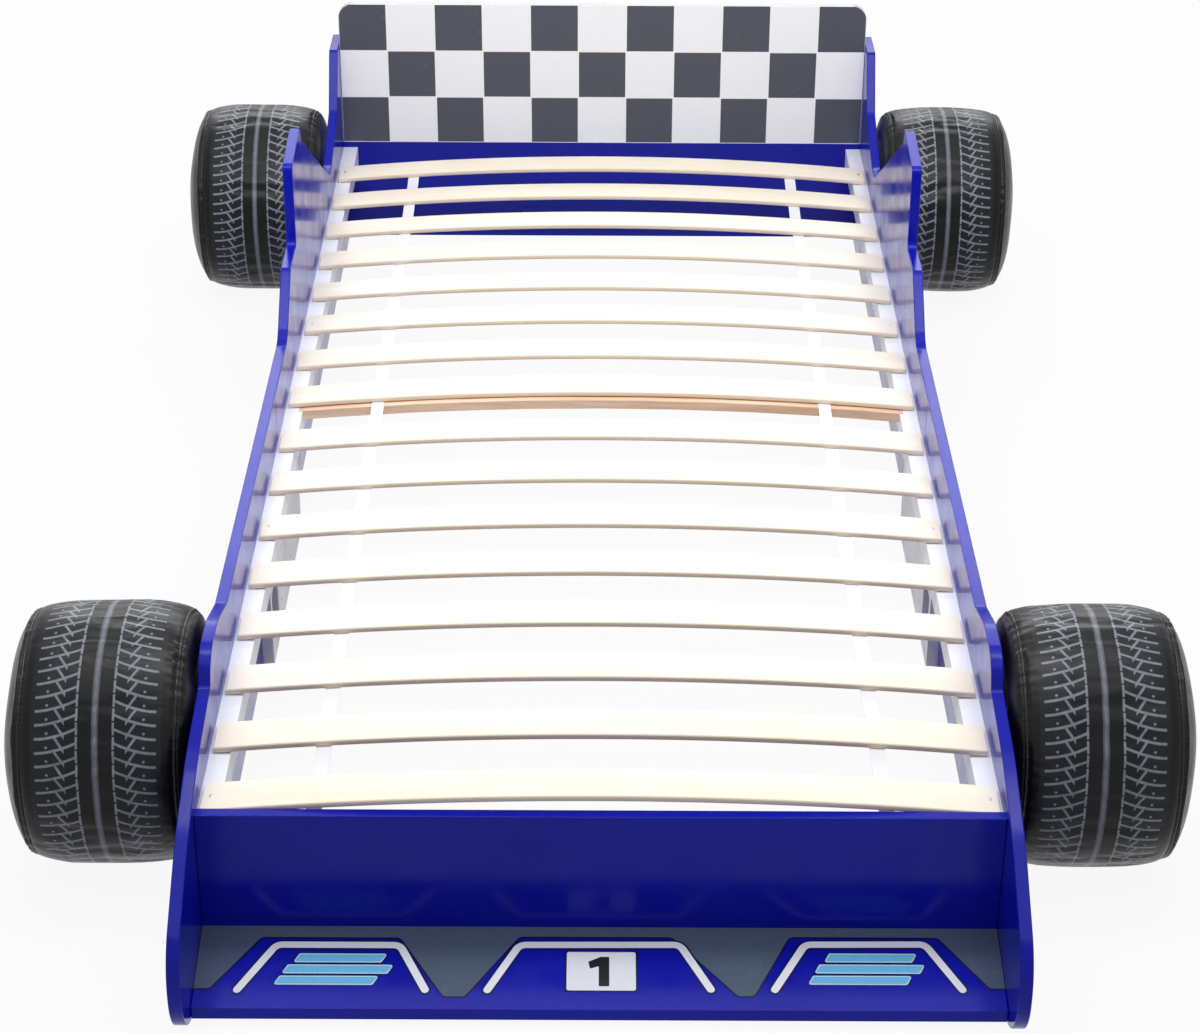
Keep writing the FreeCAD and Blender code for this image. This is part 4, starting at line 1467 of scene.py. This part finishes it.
def even_curve(recipe):
    """The recipe's ring of edges as a curve with evenly spaced points."""
    curve = recipe.node("GeometryNodeMeshToCurve", {}, {"Mesh": recipe.given("Geometry")})
    sockets = {"Curve": curve, "Count": recipe.given("Count")}
    return recipe.node("GeometryNodeResampleCurve", {}, sockets)


def welt_recipe():
    recipe = Recipe("welt", {"Radius": "Float", "Count": "Int"})
    even = even_curve(recipe)
    ring = recipe.node("GeometryNodeCurvePrimitiveCircle", {},
                       {"Resolution": 8, "Radius": recipe.given("Radius")})
    tube = recipe.node("GeometryNodeCurveToMesh", {}, {"Curve": even, "Profile Curve": ring})
    recipe.end_with(recipe.node("GeometryNodeSetShadeSmooth", {}, {"Geometry": tube}))
    return recipe


def stitch_recipe():
    recipe = Recipe("stitches", {"Model": "Object", "Count": "Int"})
    even = even_curve(recipe)
    way = recipe.node("GeometryNodeInputTangent")
    aim = recipe.node("FunctionNodeAlignRotationToVector", {"axis": "X"}, {"Vector": way})
    model = recipe.node("GeometryNodeObjectInfo", {}, {"Object": recipe.given("Model")}, "Geometry")
    sockets = {"Points": even, "Instance": model, "Rotation": aim}
    recipe.end_with(recipe.node("GeometryNodeInstanceOnPoints", {}, sockets))
    return recipe


welt = welt_recipe()
stitches = stitch_recipe()
print("recipes:", welt.tree.name, "and", stitches.tree.name)

# %% One stitch
STITCH_LONG = 4.2 * MM
THREAD_RADIUS = 0.55 * MM


def stitch_mesh(length, radius):
    """A short thread with pinched ends."""
    shape = bmesh.new()
    bmesh.ops.create_uvsphere(shape, u_segments=6, v_segments=5, radius=1.0)
    turn = Matrix.Rotation(math.pi / 2, 4, "Y")
    stretch = Matrix.Diagonal((length / 2, radius, radius, 1))
    bmesh.ops.transform(shape, matrix=stretch @ turn, verts=shape.verts)
    mesh = as_mesh(shape, "stitch")
    mesh.shade_smooth()
    return mesh


thread_model = new_piece("thread_model", stitch_mesh(STITCH_LONG, THREAD_RADIUS))
print("a stitch has", len(thread_model.data.polygons), "faces")

# %% [markdown]
# ## Four wheels from one
# Sewing gives four covers that differ slightly. Four simulations would take four times as long,
# so one skin serves all: each wheel is turned by its own whole number of sipes, which moves its
# dents and puckers but not its print, and the left ones are mirrored. Each cover is placed on its
# axle.

# %% Place the wheels
WHEEL_TURNS = {("front", "left"): 8, ("front", "right"): 33,
               ("rear", "left"): 47, ("rear", "right"): 20}


def wheel_place(half, side):
    """The turn, mirror and move that put the wheel on its axle."""
    low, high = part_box("wheel_cover_%s_%s" % (half, side))
    inner_x = low.x if side == "right" else high.x
    centre = Vector((inner_x, (low.y + high.y) / 2, (low.z + high.z) / 2))
    turn = Matrix.Rotation(-2 * math.pi * WHEEL_TURNS[half, side] / SIPES, 4, "X")
    mirror = Matrix.Diagonal((SIDES[side], 1, 1, 1))
    return Matrix.Translation(centre) @ mirror @ turn


def placed(mesh, place):
    """A copy of a mesh in its place, turned right side out again where that mirrors it."""
    copy = mesh.copy()
    copy.transform(place)
    if place.determinant() < 0:
        copy.flip_normals()
    return copy


print("turns in sipes:", WHEEL_TURNS)

# %% Lines beside the seams


def seam_loop(name, ring, shift, lift):
    """A closed line on the skin beside a seam, as a mesh of edges."""
    ring_spots = wheel_spots[ring * AROUND:(ring + 1) * AROUND]
    step = 1 if shift > 0 else -1
    beside = wheel_spots[(ring + step) * AROUND:(ring + step + 1) * AROUND]
    way = beside - ring_spots
    way /= np.linalg.norm(way, axis=1, keepdims=True)
    radial = ring_spots * np.array([0, 1, 1])
    radial /= np.linalg.norm(radial, axis=1, keepdims=True)
    spots = ring_spots + way * abs(shift) + radial * lift
    mesh = bpy.data.meshes.new(name)
    mesh.from_pydata([tuple(s) for s in spots], [(i, (i + 1) % AROUND) for i in range(AROUND)], [])
    return mesh


def thread():
    finish = Finish("black_thread", {"Specular IOR Level": 0.35})
    twist = finish.noise(finish.point(), 1800.0, 1.0)
    pale_share = finish.level(twist, 0.3, 0.7)
    finish.paint("Base Color", finish.mix(pale_share, tint(20, 20, 22), tint(52, 53, 56)))
    finish.paint("Roughness", finish.level(twist, 0.3, 0.7, 0.5, 0.7))
    return finish


black_thread = thread()
print("thread nodes:", len(black_thread.material.node_tree.nodes))

# %% The four wheels
WELT_RADIUS = 2.1 * MM
WELT_LIFT = 1.7 * MM
WELT_SHIFT = 0.1 * MM
STITCHES = 150
STITCH_OFFSET = 3.4 * MM
STITCH_LIFT = 0.5 * MM


def sew(label, ring, half, side):
    """Lay the welt on a seam and a row of stitches on each side of it."""
    corner = "%s_%s" % (half, side)
    place = wheel_place(half, side)
    middle = placed(seam_loop("bead", ring, WELT_SHIFT, WELT_LIFT), place)
    bead = new_piece("welt_%s_%s" % (label, corner), middle)
    welt.run(bead, welt_vinyl, {"Radius": WELT_RADIUS, "Count": 2 * AROUND})
    fit(bead, "tyre_vinyl", body="wheel_" + corner)
    for row, shift in (("a", STITCH_OFFSET), ("b", -STITCH_OFFSET)):
        path = placed(seam_loop("path", ring, shift, STITCH_LIFT), place)
        sewn = new_piece("stitches_%s_%s_%s" % (label, row, corner), path)
        stitches.run(sewn, black_thread, {"Model": thread_model, "Count": STITCHES})
        fit(sewn, "tyre_vinyl", body="wheel_" + corner)


for half, side in WHEEL_TURNS:
    corner = "%s_%s" % (half, side)
    skin = placed(wheel_skin.data, wheel_place(half, side))
    cover = new_piece("wheel_cover_%s_sewn" % corner, skin, black_vinyl)
    cover.data.shade_smooth()
    fit(cover, "tyre_vinyl", "wheel_cover_" + corner, body="wheel_" + corner)
    sew("inner", inner_seam_ring, half, side)
    sew("outer", outer_seam_ring, half, side)
bpy.data.objects.remove(thread_model)
bpy.data.objects.remove(wheel_skin)
print("wheels:", len(WHEEL_TURNS))

# %% [markdown]
# ## What hides inside
# Foam cores, plywood discs, axle bolts, washers, tee nuts and spacers are hardly seen, but they are
# part of the bed. They could be left plain, but a wheel can be taken apart, so each gets the
# surface of its material: open foam cells, plywood layers, turned zinc and black plastic. All keep
# the frame's shape but the foam, which the sewn cover presses in at its shoulders.

# %% Foam pressed in by its cover
COVER_GAP = 6 * MM
FOAM_START = 21 * MM
FOAM_SHORTER = 0.955


def cover_radius(along):
    """The cover's radius at a distance from the wheel's inner face."""
    if along < OUTER_SEAM:
        return tread_radius(along)
    share = min(1.0, (along - OUTER_SEAM) / DOME_DEPTH)
    return max(SEAM_RADIUS * (1 - share ** 2) ** (DOME_FULLNESS / 2), COVER_GAP)


def pressed_foam(half, side):
    """The frame's foam core, pressed in by its cover."""
    node = "wheel_foam_%s_%s" % (half, side)
    place = wheel_place(half, side)
    shape = merged(node)
    for spot in shape.verts:
        near = place.inverted() @ spot.co
        near.x = FOAM_START + (near.x - FOAM_START) * FOAM_SHORTER
        radius = math.hypot(near.y, near.z)
        reach = cover_radius(near.x + COVER_GAP) - COVER_GAP
        if radius > reach:
            near.y *= reach / radius
            near.z *= reach / radius
        spot.co = place @ near
    mesh = as_mesh(shape, node + "_pressed")
    shade(mesh)
    core = new_piece(node + "_pressed", mesh, foam_cells)
    return fit(core, "foam", node, body="wheel_%s_%s" % (half, side))


def foam():
    finish = Finish("foam_cells", {"Specular IOR Level": 0.1})
    cells = finish.node("ShaderNodeTexVoronoi", {}, {"Vector": finish.point(), "Scale": 420.0})
    finish.paint("Base Color", finish.mix(finish.level(cells, 0.1, 0.6), tint(236, 226, 184),
                                          tint(206, 190, 140)))
    finish.paint("Roughness", finish.level(cells, 0.0, 0.6, 0.85, 0.98))
    finish.relief(cells, 0.5 * MM)
    return finish


foam_cells = foam()
for half, side in WHEEL_TURNS:
    pressed_foam(half, side)

# %% Plywood and plastic
PLYS = 420.0


def plywood():
    finish = Finish("plywood", {"Specular IOR Level": 0.3})
    x, _, _ = finish.parts(finish.point())
    layers = (x * PLYS).to_whole() * 2
    grain = finish.noise(finish.stretched(finish.point(), 30.0, 3.0, 60.0), 3.0, 4.0, 0.6)
    wood = finish.mix(finish.level(grain, 0.3, 0.7), tint(222, 196, 156), tint(196, 164, 120))
    glue = finish.level(layers, 0.4, 0.6, 0.0, 0.25)
    finish.paint("Base Color", finish.mix(glue, wood, tint(160, 124, 84)))
    finish.paint("Roughness", finish.level(grain, 0.3, 0.7, 0.55, 0.7))
    finish.relief(grain, 0.1 * MM)
    return finish


def black_plastic():
    finish = Finish("black_plastic", {"Specular IOR Level": 0.45})
    grain = finish.noise(finish.point(), 800.0, 2.0)
    pale_share = finish.level(grain, 0.3, 0.7)
    finish.paint("Base Color", finish.mix(pale_share, tint(30, 30, 32), tint(38, 38, 41)))
    finish.paint("Roughness", finish.level(grain, 0.3, 0.7, 0.4, 0.55))
    finish.relief(grain, 0.05 * MM)
    return finish


print("plies to a metre:", PLYS)

# %% Finish the hidden pieces


def wear(finish, *starts):
    """Give every node of the frame whose name starts so a finish."""
    for name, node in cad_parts.items():
        if name.startswith(starts):
            node.data.materials.clear()
            node.data.materials.append(finish.material)


wear(plywood(), "wheel_hub")
wear(zinc("zinc_plain", 0.32), "axle_bolts", "axle_tee_nuts", "axle_washers")
wear(black_plastic(), "axle_spacers")
print("materials in the scene:", len(bpy.data.materials))

# %% [markdown]
# ## Floor, light and surroundings
# The bed stands on a plain pale floor under soft studio light. A large soft lamp overhead lights
# what faces up, a long one behind the tail glances along the slats, a small one over the middle
# faces the headboard, and a dim sky fills the rest. A white background could come from more light,
# but that would bleach the bed. Here camera rays and mirror rays see floor and sky as white, and
# no more light falls on the bed.

# %% Floor
FLOOR_REACH = 14.0
FLOOR_SUNK = 0.5 * MM
FLOOR_WHITE = 0.92
WHITE = (1, 1, 1, 1)


def seen_rays(nodes):
    """One for rays that look at the background, none for rays that light the bed."""
    rays = nodes.node("ShaderNodeLightPath", output="Is Camera Ray")
    mirror = Wire(nodes, rays.socket.node.outputs["Is Glossy Ray"])
    through = Wire(nodes, rays.socket.node.outputs["Is Transmission Ray"])
    return (rays + mirror + through).clamped()


def floor_finish():
    finish = Finish("pale_floor", {"Base Color": tint(224, 224, 226), "Roughness": 0.9,
                                   "Specular IOR Level": 0.1})
    white_share = seen_rays(finish) * FLOOR_WHITE
    bright = finish.node("ShaderNodeEmission", {}, {"Color": WHITE, "Strength": 1.0})
    plain = Wire(finish, finish.shader.outputs[0])
    mixed = finish.node("ShaderNodeMixShader", {}, {0: white_share, 1: plain, 2: bright})
    out = finish.tree.nodes["Material Output"]
    finish.tree.links.new(mixed.socket, out.inputs["Surface"])
    return finish


shape = bmesh.new()
bmesh.ops.create_grid(shape, x_segments=1, y_segments=1, size=FLOOR_REACH)
floor = new_piece("floor", as_mesh(shape, "floor"), floor_finish())
floor.location.z = -FLOOR_SUNK
print("floor reaches", FLOOR_REACH, "m each way")

# %% Sky
SKY_LIGHT = 0.32


def make_sky():
    """A sky that gives a dim light and looks white."""
    world = bpy.data.worlds.new("studio")
    world.use_nodes = True
    bpy.context.scene.world = world
    sky = Nodes(world.node_tree)
    for old in list(world.node_tree.nodes):
        world.node_tree.nodes.remove(old)
    strength = SKY_LIGHT + (1 - SKY_LIGHT) * seen_rays(sky)
    light = sky.node("ShaderNodeBackground", {}, {"Color": WHITE, "Strength": strength})
    out = world.node_tree.nodes.new("ShaderNodeOutputWorld")
    world.node_tree.links.new(light.socket, out.inputs["Surface"])


make_sky()
print("sky nodes:", len(bpy.context.scene.world.node_tree.nodes))

# %% Lamps
# Each lamp has a place, a point that it faces, a size in metres and a power in watts.
LAMPS = {
    "overhead": ((0.0, -0.6, 4.2), (0.0, -0.2, 0.0), (5.0, 5.0), 106.0),
    "behind": ((0.0, 4.6, 2.6), (0.0, 0.2, 0.2), (5.0, 1.8), 104.0),
    "on_headboard": ((0.0, -0.5, 1.8), (0.0, 1.1, 0.4), (1.6, 0.7), 23.0),
}


def soft_lamp(name, place, target, size, power):
    data = bpy.data.lights.new(name, "AREA")
    data.shape = "RECTANGLE"
    data.size, data.size_y = size
    data.energy = power
    lamp = bpy.data.objects.new(name, data)
    bpy.context.scene.collection.objects.link(lamp)
    lamp.location = place
    way = Vector(target) - Vector(place)
    lamp.rotation_euler = way.to_track_quat("-Z", "Y").to_euler()
    lamp.visible_camera = False


for name, facts in LAMPS.items():
    soft_lamp(name, *facts)
print("lamps:", [o.name for o in bpy.data.objects if o.type == "LIGHT"])

# %% [markdown]
# ## The camera
# The picture is taken from above the foot end with a long lens, looking down at almost thirty
# degrees. A camera can be set by eye, but then the bed's edges never quite meet those in the
# picture. Its place, tilt and lens were worked out from the bed's own straight lines instead.

# %% Camera
CAMERA_PLACE = (-0.0046, -3.4915, 2.016)
LOOK_DOWN = 29.44
PAN = -0.00102
ROLL = 0.0049
LENS = 82.05
FILM_WIDTH = 36.0

camera_data = bpy.data.cameras.new("camera")
camera_data.lens = LENS
camera_data.sensor_width = FILM_WIDTH
camera = bpy.data.objects.new("camera", camera_data)
bpy.context.scene.collection.objects.link(camera)
tilt = Matrix.Rotation(math.radians(90 - LOOK_DOWN), 4, "X")
pan = Matrix.Rotation(PAN, 4, "Z")
roll = Matrix.Rotation(ROLL, 4, "Z")
camera.matrix_world = Matrix.Translation(CAMERA_PLACE) @ pan @ tilt @ roll
bpy.context.scene.camera = camera
bpy.context.scene.view_settings.view_transform = "Standard"
print("camera at", CAMERA_PLACE, "lens", LENS)

# %% [markdown]
# ## The frame's size
# The dressed bed must keep the frame's size. It could be measured by hand in the window.
